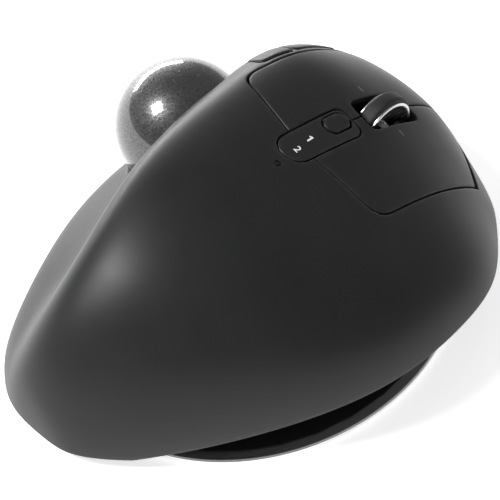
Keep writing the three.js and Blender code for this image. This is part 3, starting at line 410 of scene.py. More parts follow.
SOFT_TOUCH = moulded(
    "soft_touch_shell", grey(0.014, 1.04), grey(0.017, 1.04), 0.38, 0.46, 5200.0, 0.010 * MM,
    worn=grey(0.04), amount=0.4, dust=0.1,
    Specular_IOR_Level=0.24, Sheen_Weight=0.1, Sheen_Roughness=0.3)
UNDER_PLASTIC = moulded(
    "under_plastic", grey(0.012), grey(0.017), 0.45, 0.6, 2600.0, 0.03 * MM, dust=0.2)
PANEL_GLOSS = moulded(
    "panel_gloss", grey(0.009), grey(0.012), 0.3, 0.4, 5200.0, 0.004 * MM, worn=grey(0.05), amount=0.4)
SWITCH_PLASTIC = moulded(
    "switch_plastic", grey(0.018), grey(0.028), 0.35, 0.5, 3400.0, 0.01 * MM)
WHEEL_RUBBER = moulded(
    "wheel_rubber", grey(0.008), grey(0.013), 0.6, 0.75, 4200.0, 0.015 * MM, dust=0.25)
BASE_RUBBER = moulded(
    "base_rubber", grey(0.010), grey(0.016), 0.7, 0.9, 1800.0, 0.05 * MM, dust=0.6)
LINER = moulded(
    "liner", grey(0.004), grey(0.006), 0.75, 0.9, 3000.0, 0.02 * MM)
LIGHT_GUIDE = moulded(
    "light_guide", grey(0.72), grey(0.8), 0.3, 0.4, 3000.0, 0.002 * MM,
    Emission_Color=grey(1.0), Emission_Strength=0.2)
STATUS_LENS = moulded(
    "status_lens", grey(0.004), grey(0.008), 0.1, 0.2, 3000.0, 0.002 * MM)
# Bars beside the wheel: their light grey is a painted highlight, standing in for the light these small bars catch.
MARK_PAINTED_HIGHLIGHT = moulded(
    "mark_painted_highlight", grey(0.09), grey(0.1), 0.4, 0.5, 3000.0, 0.002 * MM)
BEAD_CERAMIC = moulded(
    "bead_ceramic", (0.8, 0.78, 0.7, 1), (0.86, 0.84, 0.78, 1), 0.12, 0.2, 3000.0, 0.002 * MM)
LENS_CLEAR = moulded(
    "lens_clear", grey(0.02), grey(0.03), 0.04, 0.1, 3000.0, 0.001 * MM, Coat_Weight=1.0)
PLUNGER_RED = moulded(
    "plunger_red", (0.42, 0.03, 0.02, 1), (0.5, 0.05, 0.03, 1), 0.3, 0.45, 3000.0, 0.006 * MM)
SLIDER_GREEN = moulded(
    "slider_green", (0.05, 0.22, 0.07, 1), (0.07, 0.28, 0.1, 1), 0.4, 0.55, 3000.0, 0.01 * MM)
BASE_STEEL = brushed(
    "base_steel", grey(0.78), grey(0.88), 0.14, 0.24, 1500.0, 0.002 * MM)
WHEEL_SILVER = brushed(
    "wheel_silver", grey(0.46), grey(0.6), 0.2, 0.3, 2200.0, 0.002 * MM)
BRIGHT_PIN = brushed(
    "bright_pin", grey(0.5), grey(0.65), 0.18, 0.3, 1800.0, 0.003 * MM)
SWITCH_METAL = brushed(
    "switch_metal", grey(0.48), grey(0.62), 0.25, 0.38, 1300.0, 0.004 * MM)
MAGNET_NICKEL = brushed(
    "magnet", grey(0.55), grey(0.62), 0.08, 0.16, 700.0, 0.002 * MM)
BATTERY_FOIL = brushed(
    "battery_foil", grey(0.45), grey(0.6), 0.3, 0.45, 500.0, 0.02 * MM)
SCREW_STEEL = brushed(
    "screw_steel", grey(0.2), grey(0.32), 0.25, 0.4, 1600.0, 0.006 * MM)
PEARL = make_pearl()
BOARD = make_board()

SLOT_MATERIALS = {
    "soft_touch_shell": SOFT_TOUCH, "under_plastic": UNDER_PLASTIC, "panel_gloss": PANEL_GLOSS,
    "light_guide": LIGHT_GUIDE, "ball_pearl": PEARL, "bead_ceramic": BEAD_CERAMIC,
    "lens_clear": LENS_CLEAR, "wheel_rubber": WHEEL_RUBBER, "wheel_silver": WHEEL_SILVER,
    "bright_pin": BRIGHT_PIN, "base_steel": BASE_STEEL, "base_rubber": BASE_RUBBER, "liner": LINER,
    "magnet": MAGNET_NICKEL, "switch_metal": SWITCH_METAL, "switch_plastic": SWITCH_PLASTIC,
    "plunger_red": PLUNGER_RED, "slider_green": SLIDER_GREEN, "circuit_board": BOARD,
    "battery_foil": BATTERY_FOIL, "screw_steel": SCREW_STEEL,
}
NODE_SLOTS = {row["node"]: row["material_slot"] for row in frame["record"]["subparts"]}
NODE_BODIES = {
    node: body
    for body, nodes in frame["record"]["behaviour"]["bodies"].items()
    for node in nodes}


def finish_cad_nodes():
    """Every CAD node gets the finish of its slot."""
    for name, node in frame["nodes"].items():
        node.data.materials.clear()
        node.data.materials.append(SLOT_MATERIALS[NODE_SLOTS[name]])


finish_cad_nodes()


def stand_in(name, sheet, node, material=None, crease=50):
    """Turns a finished bmesh into the shown piece for a CAD node and puts it on that node's body."""
    mesh = mesh_of(name, sheet)
    mesh.polygons.foreach_set("use_smooth", [True] * len(mesh.polygons))
    mesh.set_sharp_from_angle(angle=math.radians(crease))
    piece = show(name, mesh)
    slot = NODE_SLOTS[node]
    mesh.materials.append(material or SLOT_MATERIALS[slot])
    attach(piece, NODE_BODIES[node])
    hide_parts(node)


# ---- the skin -----------------------------------------------------------------------------------
# Sections from heel to nose, in millimetres. Each holds its station on Y, then x, z of eleven
# rails: under, low right, right side, right shoulder, upper right, crown, ridge, upper flank,
# lower flank, thumb wing and low left. They are the control cage of a smooth skin.
SECTIONS = [
    [-65, [-5, -16, -1, -12, 2, 0, 0, 7, -3, 10, -5, 11,
           -8, 10, -11, 7, -12, 3, -12, -4, -10, -13]],
    [-63, [-5, -22, 4, -16, 8, 2, 5, 13, -1, 19, -6, 21,
           -11.5, 20, -16, 14, -19.5, 7, -21, -3, -17, -16]],
    [-55, [-2, -25, 12, -20, 18, 4, 15, 19, 6, 30, -3, 34,
           -10.5, 33, -16, 26, -23, 13, -33, 3, -26, -18]],
    [-40, [0, -25, 25, -20, 32, 6, 29, 27, 16, 41, 1, 47,
           -12, 46, -15.8, 40, -21.5, 21, -42.5, 9, -31, -18]],
    [-20, [0, -25, 37, -20, 45.5, 8, 42, 31, 24, 46, 1, 53,
           -18, 53.5, -22.6, 45.5, -25.5, 25, -51.5, 11, -40, -16]],
    [0, [0, -25, 44, -20, 53, 8, 49, 30, 28, 43, 3, 51.5,
         -20.4, 53.5, -26.7, 46.5, -29.5, 26, -53.5, 13, -47, -14]],
    [20, [0, -25, 45, -20, 53, 8, 48, 27, 28, 36, 3, 46.5,
          -20.5, 50.5, -31.5, 44, -34, 26, -50, 13, -48, -14]],
    [38, [0, -25, 43, -20, 50, 7, 45, 20, 27, 28.5, 2, 41.5,
          -22, 48, -34, 39.5, -38, 23, -45, 11, -44, -14]],
    [52, [0, -25, 32, -20, 37, 3, 34, 12, 25, 20, 2, 34,
          -21, 37.5, -31, 31, -34, 19, -37, 8, -35, -14]],
    [62, [0, -24, 22, -18, 27, 1, 24, 8, 17, 14.5, 2, 27.5,
          -17, 28, -24, 23, -27, 13, -28, 4, -26, -12]],
    [66.5, [1, -16, 13, -12, 17, -1, 14, 5, 9, 9, 2, 18,
            -8, 17, -14, 13, -16, 8, -17, 2, -15, -8]],
]
RAILS = 11
END_RINGS = 3
END_SIZE = 0.002
SKIN_LEVELS = 4
CAGE_WELD = 1e-4
SKIN_WELD = 0.02


def cage_rows():
    """Rows of the cage; small rings round each end section's middle close the skin there."""
    rows = [[Vector((xz[2 * i], y, xz[2 * i + 1])) for i in range(RAILS)] for y, xz in SECTIONS]

    def small(row, size):
        centre = sum(row, Vector()) / RAILS
        return [centre + (point - centre) * size for point in row]

    sizes = [END_SIZE * (i + 1) for i in range(END_RINGS)]
    heel = [small(rows[0], size) for size in sizes]
    nose = [small(rows[-1], size) for size in reversed(sizes)]
    return heel + rows + nose


def smooth_skin():
    """Mesh of the whole skin: the cage bent round, closed and subdivided."""
    rows = cage_rows()
    cage = bmesh.new()
    bmesh.ops.create_grid(cage, x_segments=RAILS, y_segments=len(rows) - 1, size=1)
    for vert in cage.verts:
        column = round((vert.co.x + 1) / 2 * RAILS) % RAILS
        row = round((vert.co.y + 1) / 2 * (len(rows) - 1))
        vert.co = rows[row][column]
    bmesh.ops.remove_doubles(cage, verts=cage.verts, dist=CAGE_WELD)
    open_edges = [edge for edge in cage.edges if edge.is_boundary]
    bmesh.ops.holes_fill(cage, edges=open_edges, sides=0)
    bmesh.ops.recalc_face_normals(cage, faces=cage.faces)
    mesh = mesh_of("skin_cage", cage)
    holder = show("skin_cage", mesh)
    levels = holder.modifiers.new("skin", "SUBSURF")
    levels.levels = SKIN_LEVELS
    levels.render_levels = SKIN_LEVELS
    depsgraph = bpy.context.evaluated_depsgraph_get()
    skin = bmesh.new()
    skin.from_object(holder, depsgraph)
    bpy.data.objects.remove(holder)
    bpy.data.meshes.remove(mesh)
    bmesh.ops.remove_doubles(skin, verts=skin.verts, dist=SKIN_WELD)
    spots = np.array([vert.co for vert in skin.verts])
    low, high = spots.min(0), spots.max(0)
    size = Vector((
        -2 * COVER_LOW.x / (high[0] - low[0]),
        (NOSE - COVER_LOW.y) / (high[1] - low[1]),
        COVER_HIGH.z / high[2]))
    centre = Vector(((low[0] + high[0]) / 2, (low[1] + high[1]) / 2, 0))
    bmesh.ops.translate(skin, verts=skin.verts, vec=-centre)
    bmesh.ops.scale(skin, verts=skin.verts, vec=size)
    return mesh_of("skin", skin)


SKIN = smooth_skin()

# ---- depth fields: how far inside an outline each spot lies, negative outside ---------------------


def ring_depth(ring, spots):
    """Distance of flat spots to a closed ring, positive inside it."""
    start = np.array(ring)
    along = np.roll(start, -1, axis=0) - start
    length = np.maximum((along ** 2).sum(1), 1e-18)
    offset = spots[:, None, :] - start[None]
    share = np.clip((offset * along).sum(2) / length, 0, 1)
    gap = np.linalg.norm(offset - share[..., None] * along, axis=2).min(1)
    above = spots[:, None, 1] < start[None, :, 1]
    next_above = spots[:, None, 1] < np.roll(start[:, 1], -1)[None]
    slope = along[:, 0] / np.where(np.abs(along[:, 1]) < 1e-12, 1e-12, along[:, 1])
    cross = start[:, 0] + (spots[:, None, 1] - start[:, 1]) * slope
    inside = ((above != next_above) & (spots[:, None, 0] < cross)).sum(1) % 2 == 1
    return np.where(inside, gap, -gap)


NEAR = 4 * MM


def within(ring, across=RIGHT, along=FORWARD, height=20 * MM):
    """Depth inside a ring drawn on two axes, for spots above a height along the third."""
    axes = np.array([across, along])
    outward = np.array(across.cross(along))
    low = np.min(ring, axis=0) - NEAR
    high = np.max(ring, axis=0) + NEAR

    def depth(spots):
        flat = spots @ axes.T
        close = ((flat > low) & (flat < high)).all(1) & (spots @ outward > height)
        result = np.full(len(spots), -FAR)
        if close.any():
            result[close] = ring_depth(ring, flat[close])
        return result
    return depth


def outside(field):
    """The same depth, turned inside out."""
    return lambda spots: -field(spots)


def beyond(point, normal):
    """Height over a plane."""
    start = np.array(point)
    up = np.array(normal)
    return lambda spots: (spots - start) @ up


def either(*fields):
    """Depth inside any of the fields."""
    return lambda spots: np.max([field(spots) for field in fields], axis=0)


def round_hole(start, direction, radius):
    """Depth inside a round-ended bore that runs out from a point."""
    origin = np.array(start)
    way = np.array(direction)

    def depth(spots):
        offset = spots - origin
        run = np.maximum(offset @ way, 0)
        return radius - np.linalg.norm(offset - run[:, None] * way, axis=1)
    return depth


# ---- outlines in plan ---------------------------------------------------------------------------


def arc(centre, radius, start, end, steps=12):
    """Points along a round stretch, between two angles in degrees."""
    angles = np.radians(np.linspace(start, end, steps + 1))
    return [(centre[0] + radius * math.cos(a), centre[1] + radius * math.sin(a)) for a in angles]


def bend(first, control, last, steps=8):
    """Curve from one point to another that leans on a third."""
    parts = np.linspace(0, 1, steps + 1)[:, None]
    line = (1 - parts) ** 2 * first + 2 * parts * (1 - parts) * control + parts ** 2 * last
    return [tuple(point) for point in line]


def bends(*points):
    """Bend through three plain points."""
    return bend(*[np.array(point) for point in points])


KEY_TAPER = 2.2 * MM
KEY_CORNER = 4.5 * MM
LEFT_CORNER_RISE = 5 * MM
RIGHT_CORNER_RISE = 2.6 * MM
PAST_NOSE = 10 * MM


def keys_ring(grow):
    """Outline that both keys share, widened all round by grow."""
    left = KEYS_LEFT - grow
    right = KEYS_RIGHT + grow
    front = NOSE + PAST_NOSE
    back = KEYS_BACK - grow
    left_corner = back + LEFT_CORNER_RISE
    right_corner = back + RIGHT_CORNER_RISE
    return [
        (left + KEY_TAPER, front),
        *bends((left, left_corner + KEY_CORNER), (left, left_corner),
               (left + KEY_CORNER, left_corner - 0.9 * MM)),
        *bends((left + KEY_CORNER, left_corner - 0.9 * MM), (FINGER_LINE - 8 * MM, back + MM),
               (FINGER_LINE, back)),
        (FINGER_LINE + 3 * MM, back),
        *bends((right - KEY_CORNER, right_corner - 0.4 * MM), (right, right_corner),
               (right, right_corner + KEY_CORNER)),
        (right - KEY_TAPER, front),
    ]


STRIP_CORNER = 2.6 * MM


def strip_ring(grow):
    """Outline of the strip: round towards the heel, with softer corners towards the wheel."""
    half = STRIP_HALF + grow
    corner = STRIP_CORNER + grow
    front = STRIP_HIGH.y + grow
    back = STRIP_LOW.y + STRIP_HALF
    return [
        *arc((FINGER_LINE, back), half, 180, 360, 24),
        *arc((FINGER_LINE + half - corner, front - corner), corner, 0, 90),
        *arc((FINGER_LINE - half + corner, front - corner), corner, 90, 180),
    ]


EASY = middle("easy_switch_button")
EASY_LOW, EASY_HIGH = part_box("easy_switch_button")
EASY_CUT = 1.5 * MM


def easy_ring(grow):
    """Outline of the host-switch button, an oblong with cut corners."""
    half_width = (EASY_HIGH.x - EASY_LOW.x) / 2 + grow
    half_length = (EASY_HIGH.y - EASY_LOW.y) / 2 + grow
    quarter = [(half_width, half_length - EASY_CUT), (half_width - EASY_CUT, half_length)]
    ring = [
        *quarter,
        *[(-x, y) for x, y in reversed(quarter)],
        *[(-x, -y) for x, y in quarter],
        *[(x, -y) for x, y in reversed(quarter)],
    ]
    return [(EASY.x + x, EASY.y + y) for x, y in ring]


def rounded_rectangle(x0, y0, x1, y1, radius):
    """Rectangle between two corners, with its own corners rounded."""
    return [
        *arc((x1 - radius, y0 + radius), radius, -90, 0),
        *arc((x1 - radius, y1 - radius), radius, 0, 90),
        *arc((x0 + radius, y1 - radius), radius, 90, 180),
        *arc((x0 + radius, y0 + radius), radius, 180, 270),
    ]


SLOT_HALF = 4.4 * MM
SLOT_BEHIND = 7.2 * MM
SLOT_AHEAD = 9.4 * MM
SLOT_CORNER = 1.6 * MM
SLOT_RING = rounded_rectangle(
    FINGER_LINE - SLOT_HALF, WHEEL.y - SLOT_BEHIND, FINGER_LINE + SLOT_HALF, WHEEL.y + SLOT_AHEAD,
    SLOT_CORNER)
SIDE_KEY_CORNER = 1.6 * MM


def side_key_ring(node, grow):
    """Outline of a side key in its leaning frame, read off its CAD node's corners."""
    spots = np.array([vert.co for vert in frame["nodes"][node].data.vertices])
    normals = np.array([vert.normal for vert in frame["nodes"][node].data.vertices])
    outer = spots[normals @ np.array(LEAN_ACROSS.cross(FORWARD)) > 0.5]
    across = outer @ np.array(LEAN_ACROSS)
    low_y, high_y = outer[:, 1].min(), outer[:, 1].max()
    middle_y = (low_y + high_y) / 2
    soft = SIDE_KEY_CORNER
    rear = across[outer[:, 1] < middle_y]
    fore = across[outer[:, 1] > middle_y]
    x0, x1 = rear.max() + grow, fore.max() + grow
    rear_left, fore_left = rear.min() - grow, fore.min() - grow
    y0, y1 = low_y - grow, high_y + grow
    return [
        *bends((x1, y1 - soft), (x1, y1), (x1 - soft, y1)),
        *bends((fore_left + soft, y1), (fore_left, y1), (fore_left, y1 - soft)),
        *bends((rear_left, y0 + soft), (rear_left, y0), (rear_left + soft, y0)),
        *bends((x0 - soft, y0), (x0, y0), (x0, y0 + soft)),
    ]


# ---- cutting pieces out of the skin ----------------------------------------------------------------
FILLET_STEPS = [math.radians(angle) for angle in (0, 30, 60, 90)]
RIM_REACH = 3
FAR_OUTSIDE = 3.9 * MM
HALVINGS = 16
ON_LINE = 1e-8
END_MARGIN = 0.004


def spots_of(items):
    """Places of vertices, as rows of numbers."""
    return np.array([item.co for item in items])


def score(sheet, field, level):
    """Cuts a line of edges into the sheet where a field has this level."""
    sheet.verts.index_update()
    spots = spots_of(sheet.verts)
    values = field(spots) - level
    edges = list(sheet.edges)
    ends = np.array([(edge.verts[0].index, edge.verts[1].index) for edge in edges])
    first, second = values[ends[:, 0]], values[ends[:, 1]]
    crossing = np.flatnonzero(first * second < 0)
    if not len(crossing):
        return
    start, stop = spots[ends[crossing, 0]], spots[ends[crossing, 1]]
    sign = np.sign(first[crossing])
    low, high = np.zeros(len(crossing)), np.ones(len(crossing))
    for _ in range(HALVINGS):
        share = (low + high) / 2
        here = (field(start + (stop - start) * share[:, None]) - level) * sign
        low = np.where(here > 0, share, low)
        high = np.where(here > 0, high, share)
    on_line = [vert for vert, value in zip(sheet.verts, values) if abs(value) < ON_LINE]
    for index, share in zip(crossing, (low + high) / 2):
        edge = edges[index]
        if share < END_MARGIN:
            on_line.append(edge.verts[0])
        elif share > 1 - END_MARGIN:
            on_line.append(edge.verts[1])
        else:
            on_line.append(bmesh.utils.edge_split(edge, edge.verts[0], share)[1])
    bmesh.ops.connect_verts(sheet, verts=list(set(on_line)))


def panel(name, node, limits, lift=0.0, wall=WALL, material=None):
    """Piece of the skin that lies inside every limit, with rounded edges and a real wall.

    Each limit is a field and the radius that rounds the edge along it.
    """
    sheet = bmesh.new()
    sheet.from_mesh(SKIN)
    crop(sheet, limits)
    for field, radius in limits:
        for angle in FILLET_STEPS:
            score(sheet, field, radius * (1 - math.sin(angle)))
    sheet.normal_update()
    spots = spots_of(sheet.verts)
    drop = np.zeros(len(spots))
    rim = np.zeros(len(spots))
    for field, radius in limits:
        gap = field(spots)
        inner = np.clip(radius - gap, 0, radius)
        drop = np.maximum(drop, radius - np.sqrt(radius ** 2 - inner ** 2))
        rim = np.maximum(rim, np.clip(1 - gap / (RIM_REACH * radius), 0, 1))
    centres = np.array([face.calc_center_median() for face in sheet.faces])
    kept = np.min([field(centres) for field, _ in limits], axis=0) > 0
    inward = sheet.verts.layers.float_vector.new("inward")
    edge_mask = sheet.verts.layers.float.new("rim")
    for vert, sunk, share in zip(sheet.verts, drop, rim):
        normal = vert.normal.copy()
        vert.co += normal * (lift - sunk)
        vert[inward] = normal * (sunk - wall)
        vert[edge_mask] = share
    waste = [face for face, keep in zip(sheet.faces, kept) if not keep]
    bmesh.ops.delete(sheet, geom=waste, context="FACES")
    thicken(sheet, inward)
    stand_in(name, sheet, node, material)


def crop(sheet, limits):
    """Drops the faces that lie far outside a limit, to keep the later cuts short."""
    centres = np.array([face.calc_center_median() for face in sheet.faces])
    depth = np.min([field(centres) for field, _ in limits], axis=0)
    waste = [face for face, value in zip(sheet.faces, depth) if value < -FAR_OUTSIDE]
    bmesh.ops.delete(sheet, geom=waste, context="FACES")


def thicken(sheet, inward):
    """Closes a sheet into a wall; each vertex says how far its inner twin lies."""
    everything = sheet.verts[:] + sheet.edges[:] + sheet.faces[:]
    grown = bmesh.ops.extrude_face_region(sheet, geom=everything, use_keep_orig=True)
    for item in grown["geom"]:
        if isinstance(item, bmesh.types.BMVert):
            item.co += item[inward]
    bmesh.ops.recalc_face_normals(sheet, faces=sheet.faces)


FLAT_FLOOR = beyond((0, 0, UNDERSIDE), UP)
SLOPE_UP = Vector((-math.sin(TILT), 0, math.cos(TILT)))
SLOPE_FLOOR = beyond(HINGE - SLOPE_UP * (HINGE.z - UNDERSIDE), SLOPE_UP)
ABOVE_NOSE_CUT = beyond((0, 0, KEY_NOSE_HEIGHT), UP)
BELOW_NOSE_CUT = outside(ABOVE_NOSE_CUT)
BALL_BORE = round_hole(BALL, BALL_OUT, BALL_RADIUS + BALL_GAP)

PRECISION = middle("precision_button")
PRECISION_OUT = Vector((-0.8, 0.1, 0.6)).normalized()
PRECISION_RADIUS = 3 * MM
STATUS = middle("status_light")
STATUS_RADIUS = 0.7 * MM
STATUS_GAP = 0.15 * MM
PORT_LOW, PORT_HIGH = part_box("charging_port")
PORT_GAP = 0.3 * MM
PORT_FRONT = 50 * MM
PORT_RING = rounded_rectangle(
    -PORT_HIGH.x - PORT_GAP, PORT_LOW.z - PORT_GAP, -PORT_LOW.x + PORT_GAP, PORT_HIGH.z + PORT_GAP, MM)


def bore(start, direction, radius, back=6 * MM):
    """Depth inside a bore that begins a little behind a piece's middle."""
    return round_hole(start - direction * back, direction, radius)


def make_shell():
    """The cover, with its openings for keys, strip, ball, button, light and charging port."""
    keys_opening = within(keys_ring(SEAM), height=5 * MM)
    limits = [
        (FLAT_FLOOR, SHELL_EDGE),
        (SLOPE_FLOOR, SHELL_EDGE),
        (either(outside(keys_opening), BELOW_NOSE_CUT), SEAM_EDGE),
        (outside(within(strip_ring(SEAM))), SEAM_EDGE),
        (outside(BALL_BORE), BALL_LIP),
        (outside(bore(PRECISION, PRECISION_OUT, PRECISION_RADIUS + SEAM)), SEAM_EDGE),
        (outside(bore(STATUS, UP, STATUS_RADIUS + STATUS_GAP)), STATUS_GAP),
        (outside(within(PORT_RING, -RIGHT, UP, PORT_FRONT)), SEAM_EDGE),
    ]
    for node in ("back_key", "forward_key"):
        ring = side_key_ring(node, SEAM)
        limits.append((outside(within(ring, LEAN_ACROSS)), SEAM_EDGE))
    panel("cover_shell", "top_cover", limits)


def make_keys():
    """The two main keys, each with half of the wheel slot and of the strip's nose."""
    shared = [
        (within(keys_ring(0), height=5 * MM), SEAM_EDGE),
        (beyond((0, 0, KEY_NOSE_HEIGHT + KEY_NOSE_GAP), UP), SEAM_EDGE),
        (outside(within(strip_ring(SEAM))), SEAM_EDGE),
        (outside(within(SLOT_RING)), SEAM_EDGE),
    ]
    for side, name in ((-1, "left_key"), (1, "right_key")):
        half = beyond((FINGER_LINE + side * SEAM / 2, 0, 0), RIGHT * side)
        panel(f"{name}_cap", name, [*shared, (half, SEAM_EDGE)])


def make_side_keys():
    """Back and forward keys, standing a little proud of the ridge."""
    for node in ("back_key", "forward_key"):
        ring = side_key_ring(node, 0)
        panel(f"{node}_cap", node, [(within(ring, LEAN_ACROSS), 0.6 * MM)], lift=0.25 * MM)


def make_strip():
    """Recessed strip with its button."""
    limits = [
        (within(strip_ring(0)), 0.2 * MM),
        (outside(within(easy_ring(SEAM))), 0.25 * MM),
    ]
    panel("strip_window", "indicator_panel", limits, lift=-0.2 * MM)
    panel("easy_switch_cap", "easy_switch_button", [(within(easy_ring(0)), 0.3 * MM)], lift=0.15 * MM)


def make_precision_button():
    """Raised round button beside the ball."""
    limits = [(bore(PRECISION, PRECISION_OUT, PRECISION_RADIUS), 0.5 * MM)]
    panel("precision_cap", "precision_button", limits, lift=0.4 * MM)


def make_status_lens():
    """Small dark window over the status light."""
    limits = [(bore(STATUS, UP, STATUS_RADIUS), STATUS_GAP)]
    panel("status_lens", "status_light", limits, lift=-0.1 * MM, wall=MM, material=STATUS_LENS)


make_shell()
make_keys()
make_side_keys()
make_strip()
make_precision_button()
make_status_lens()

# ---- numerals -----------------------------------------------------------------------------------
NUMERAL_SIZE = 2.9 * MM
NUMERAL_DEPTH = 0.12 * MM
NUMERAL_WEIGHT = 0.02 * MM
# Corners of the figure one, in parts of the numerals' size.
ONE_OUTLINE = [
    (0.0, -0.36), (0.15, -0.36), (0.15, 0.36), (0.02, 0.36), (-0.2, 0.22), (-0.13, 0.11), (0.0, 0.19)]


def top_over(spot, shown_piece):
    """Highest point of a shown piece over a spot in plan, and which way it faces there."""
    piece = bpy.data.objects[shown_piece]
    _, place, normal, _ = piece.ray_cast(Vector((spot.x, spot.y, FAR)), -UP)
    return place, normal


def lay_on(sheet, place, normal):
    """Moves a flat shape onto a surface, upright for a hand at the heel."""
    across = FORWARD.cross(normal).normalized()
    turn = Matrix((across, normal.cross(across), normal)).transposed().to_4x4()
    bmesh.ops.transform(sheet, matrix=Matrix.Translation(place) @ turn, verts=sheet.verts)


def figure_one():
    """The figure one as a flat plate: a stem with a slanting flag."""
    sheet = bmesh.new()
    low = -NUMERAL_DEPTH / 2
    verts = [sheet.verts.new((x * NUMERAL_SIZE, y * NUMERAL_SIZE, low)) for x, y in ONE_OUTLINE]
    face = sheet.faces.new(verts)
    grow_up(sheet, [face], NUMERAL_DEPTH)
    return sheet


def figure_two():
    """The figure two from plain lettering, as a flat plate."""
    text = bpy.data.curves.new("figure_two", "FONT")
    text.body = "2"
    text.align_x = "CENTER"
    text.align_y = "CENTER"
    text.size = NUMERAL_SIZE
    text.extrude = NUMERAL_DEPTH / 2
    text.offset = NUMERAL_WEIGHT
    holder = show("figure_two", text)
    sheet = bmesh.new()
    sheet.from_mesh(bpy.data.meshes.new_from_object(holder))
    bpy.data.objects.remove(holder)
    bmesh.ops.remove_doubles(sheet, verts=sheet.verts, dist=1e-7)
    return sheet


def make_numeral(name, sheet, node):
    """White figure let into the strip over its light guide."""
    lay_on(sheet, *top_over(middle(node), "strip_window"))
    stand_in(name, sheet, node, crease=30)


make_numeral("numeral_one", figure_one(), "light_guide_1")
make_numeral("numeral_two", figure_two(), "light_guide_2")

# ---- thin bars beside the wheel, made lighter with a painted highlight ----------------------------
MARK_REACH = 6.9 * MM
MARK_SIZE = (1.9 * MM, 0.5 * MM, 0.06 * MM)
MARK_EDGE = 0.02 * MM


def make_mark(side, key):
    """Short thin bar on a key, in line with the wheel's axle; its light grey is a painted highlight."""
    spot = Vector((FINGER_LINE + side * MARK_REACH, WHEEL.y, 0))
    sheet = bmesh.new()
    bmesh.ops.create_cube(sheet, size=1)
    bmesh.ops.scale(sheet, verts=sheet.verts, vec=MARK_SIZE)
    bmesh.ops.bevel(
        sheet, geom=sheet.edges[:], offset=MARK_EDGE, affect="EDGES", segments=2, profile=0.5,
        material=-1)
    lay_on(sheet, *top_over(spot, f"{key}_cap"))
    mesh = mesh_of(f"{key}_mark", sheet)
    mesh.materials.append(MARK_PAINTED_HIGHLIGHT)
    mark = show(f"{key}_mark", mesh)
    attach(mark, NODE_BODIES[key])


make_mark(-1, "left_key")
make_mark(1, "right_key")

# ---- ball ---------------------------------------------------------------------------------------


def make_ball():
    """Smooth ball at its CAD node's place and size."""
    ball = bmesh.new()
    bmesh.ops.create_icosphere(ball, subdivisions=6, radius=BALL_RADIUS)
    bmesh.ops.translate(ball, verts=ball.verts, vec=BALL)
    stand_in("speckled_ball", ball, "trackball")


make_ball()

# ---- wheel --------------------------------------------------------------------------------------
WHEEL_STEPS = 144
TYRE_DEPTH = 1.6 * MM
TYRE_SHOULDER = 0.9 * MM
HUB_SINK = 1.62 * MM
FLANGE_SINK = 0.95 * MM
HUB_BOSS = 2.3 * MM
HUB_GAP = 0.02 * MM


def turned(profile):
    """Ring turned about the wheel's axle from a closed profile of (across, radius) points."""
    ring = bmesh.new()
    verts = [ring.verts.new(WHEEL + RIGHT * across + UP * radius) for across, radius in profile]
    edges = [ring.edges.new((verts[i - 1], verts[i])) for i in range(len(verts))]
    bmesh.ops.spin(
        ring, geom=verts + edges, cent=WHEEL, axis=RIGHT, dvec=Vector(), angle=2 * math.pi,
        steps=WHEEL_STEPS, use_merge=True, use_normal_flip=False, use_duplicate=False)
    bmesh.ops.remove_doubles(ring, verts=ring.verts, dist=1e-7)
    bmesh.ops.recalc_face_normals(ring, faces=ring.faces)
    return ring


def make_tyre():
    """Smooth rubber tyre with rounded shoulders."""
    inner = WHEEL_RADIUS - TYRE_DEPTH
    centre = (TYRE_HALF - TYRE_SHOULDER, WHEEL_RADIUS - TYRE_SHOULDER)
    outer_arc = arc(centre, TYRE_SHOULDER, 0, 90, 6)
    profile = [(-TYRE_HALF, inner), (TYRE_HALF, inner), *outer_arc]
    profile += [(-across, radius) for across, radius in reversed(outer_arc)]
    stand_in("smooth_tyre", turned(profile), "wheel_tyre", crease=40)


def make_hub():
    """Silver hub: dished faces inside bright flanges that hold the tyre's sides."""
    seat = WHEEL_RADIUS - HUB_SINK
    flange = WHEEL_RADIUS - FLANGE_SINK
    cheek = TYRE_HALF + HUB_GAP
    bore_radius = AXLE_RADIUS + HUB_GAP
    side = [
        (0.7 * HUB_HALF, bore_radius), (0.7 * HUB_HALF, HUB_BOSS), (0.74 * HUB_HALF, 2.8 * MM),
        (0.92 * HUB_HALF, flange - 1.1 * MM), (0.97 * HUB_HALF, flange - 0.95 * MM),
        (HUB_HALF, flange - 0.6 * MM), (0.98 * HUB_HALF, flange - 0.2 * MM),
        (0.92 * HUB_HALF, flange), (cheek, flange), (cheek, seat),
    ]
    profile = side + [(-across, radius) for across, radius in reversed(side)]
    stand_in("silver_hub", turned(profile), "wheel_hub", crease=35)


make_tyre()
make_hub()

# ---- base plate and mat ---------------------------------------------------------------------------
PLATE_SIDES = 256
PLATE_CHAMFER = 0.4 * MM
PLATE_BREAK = 0.08 * MM
MAT_EDGE = 0.25 * MM
SHARP_ANGLE = 25


def oval_slab(node, chamfer, segments):
    """Oval slab that fills a CAD node's box, with its rims cut or rounded."""
    low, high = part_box(node)
    slab = bmesh.new()
    bmesh.ops.create_circle(slab, cap_ends=True, segments=PLATE_SIDES, radius=1)
    half = (high - low) / 2
    bmesh.ops.scale(slab, verts=slab.verts, vec=(half.x, half.y, 1))
    bmesh.ops.translate(
        slab, verts=slab.verts, vec=((low.x + high.x) / 2, (low.y + high.y) / 2, low.z))
    grow_up(slab, slab.faces[:], high.z - low.z)
    rims = [edge for edge in slab.edges if abs(edge.verts[0].co.z - edge.verts[1].co.z) < 1e-7]
    bmesh.ops.bevel(
        slab, geom=rims, offset=chamfer, affect="EDGES", segments=segments, profile=0.5, material=-1)
    return slab


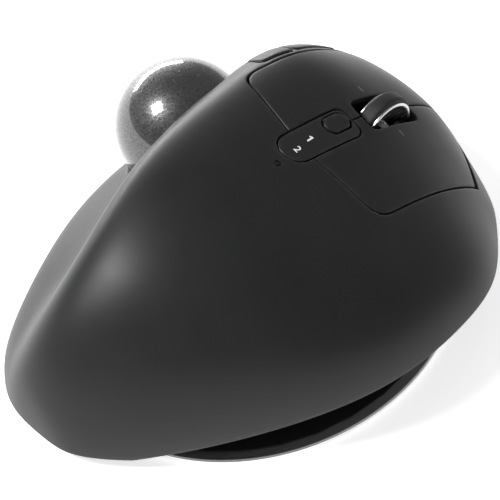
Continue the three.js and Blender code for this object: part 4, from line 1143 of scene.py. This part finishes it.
def make_plate():
    """Steel plate: broad polished chamfers whose own edges are just broken."""
    slab = oval_slab("base_plate", PLATE_CHAMFER, 1)
    sharp = [
        edge for edge in slab.edges
        if len(edge.link_faces) == 2 and math.degrees(edge.calc_face_angle(0)) > SHARP_ANGLE]
    bmesh.ops.bevel(
        slab, geom=sharp, offset=PLATE_BREAK, affect="EDGES", segments=2, profile=0.5, material=-1)
    stand_in("oval_plate", slab, "base_plate", crease=25)


def make_mat():
    """Rubber mat with rounded rims."""
    stand_in("oval_mat", oval_slab("base_mat", MAT_EDGE, 3), "base_mat", crease=35)


make_plate()
make_mat()

# ---- floor and light --------------------------------------------------------------------------------
FLOOR_HALF = 3.0
FLOOR_GLOW = 0.68
WORLD_STRENGTH = 0.3
LIT_SPOT = Vector((-0.02, 0, 0.02))


def make_floor():
    """Plain pale floor that glows a little, as a light table does."""
    sheet = bmesh.new()
    bmesh.ops.create_grid(sheet, x_segments=2, y_segments=2, size=FLOOR_HALF)
    mesh = mesh_of("floor", sheet)
    floor = show("floor", mesh)
    material, tree, shader = start_material(
        "floor_light_table", Roughness=0.8, Specular_IOR_Level=0.1,
        Emission_Color=grey(1.0), Emission_Strength=FLOOR_GLOW)
    colour = use(tree, DRIFT, Shade_A=grey(0.9), Shade_B=grey(0.92), Scale=2.0)["Colour"]
    tree.links.new(colour, shader.inputs["Base Color"])
    mesh.materials.append(material)


def area_light(name, place, size, watts):
    """Soft rectangular lamp turned towards the piece."""
    light = bpy.data.lights.new(name, "AREA")
    light.shape = "RECTANGLE"
    light.size = size[0]
    light.size_y = size[1]
    light.energy = watts
    lamp = show(name, light)
    lamp.location = place
    lamp.rotation_euler = (LIT_SPOT - Vector(place)).to_track_quat("-Z", "Y").to_euler()


def make_world():
    """Even white light from all round."""
    world = bpy.data.worlds.new("studio")
    world.use_nodes = True
    background = world.node_tree.nodes["Background"]
    background.inputs["Color"].default_value = (1, 1, 1, 1)
    background.inputs["Strength"].default_value = WORLD_STRENGTH
    bpy.context.scene.world = world


make_floor()
make_world()
area_light("key_light", place=(-0.5, -0.62, 0.9), size=(0.35, 0.35), watts=16)
area_light("low_light", place=(-1.0, 0.36, 0.08), size=(0.9, 0.15), watts=8)
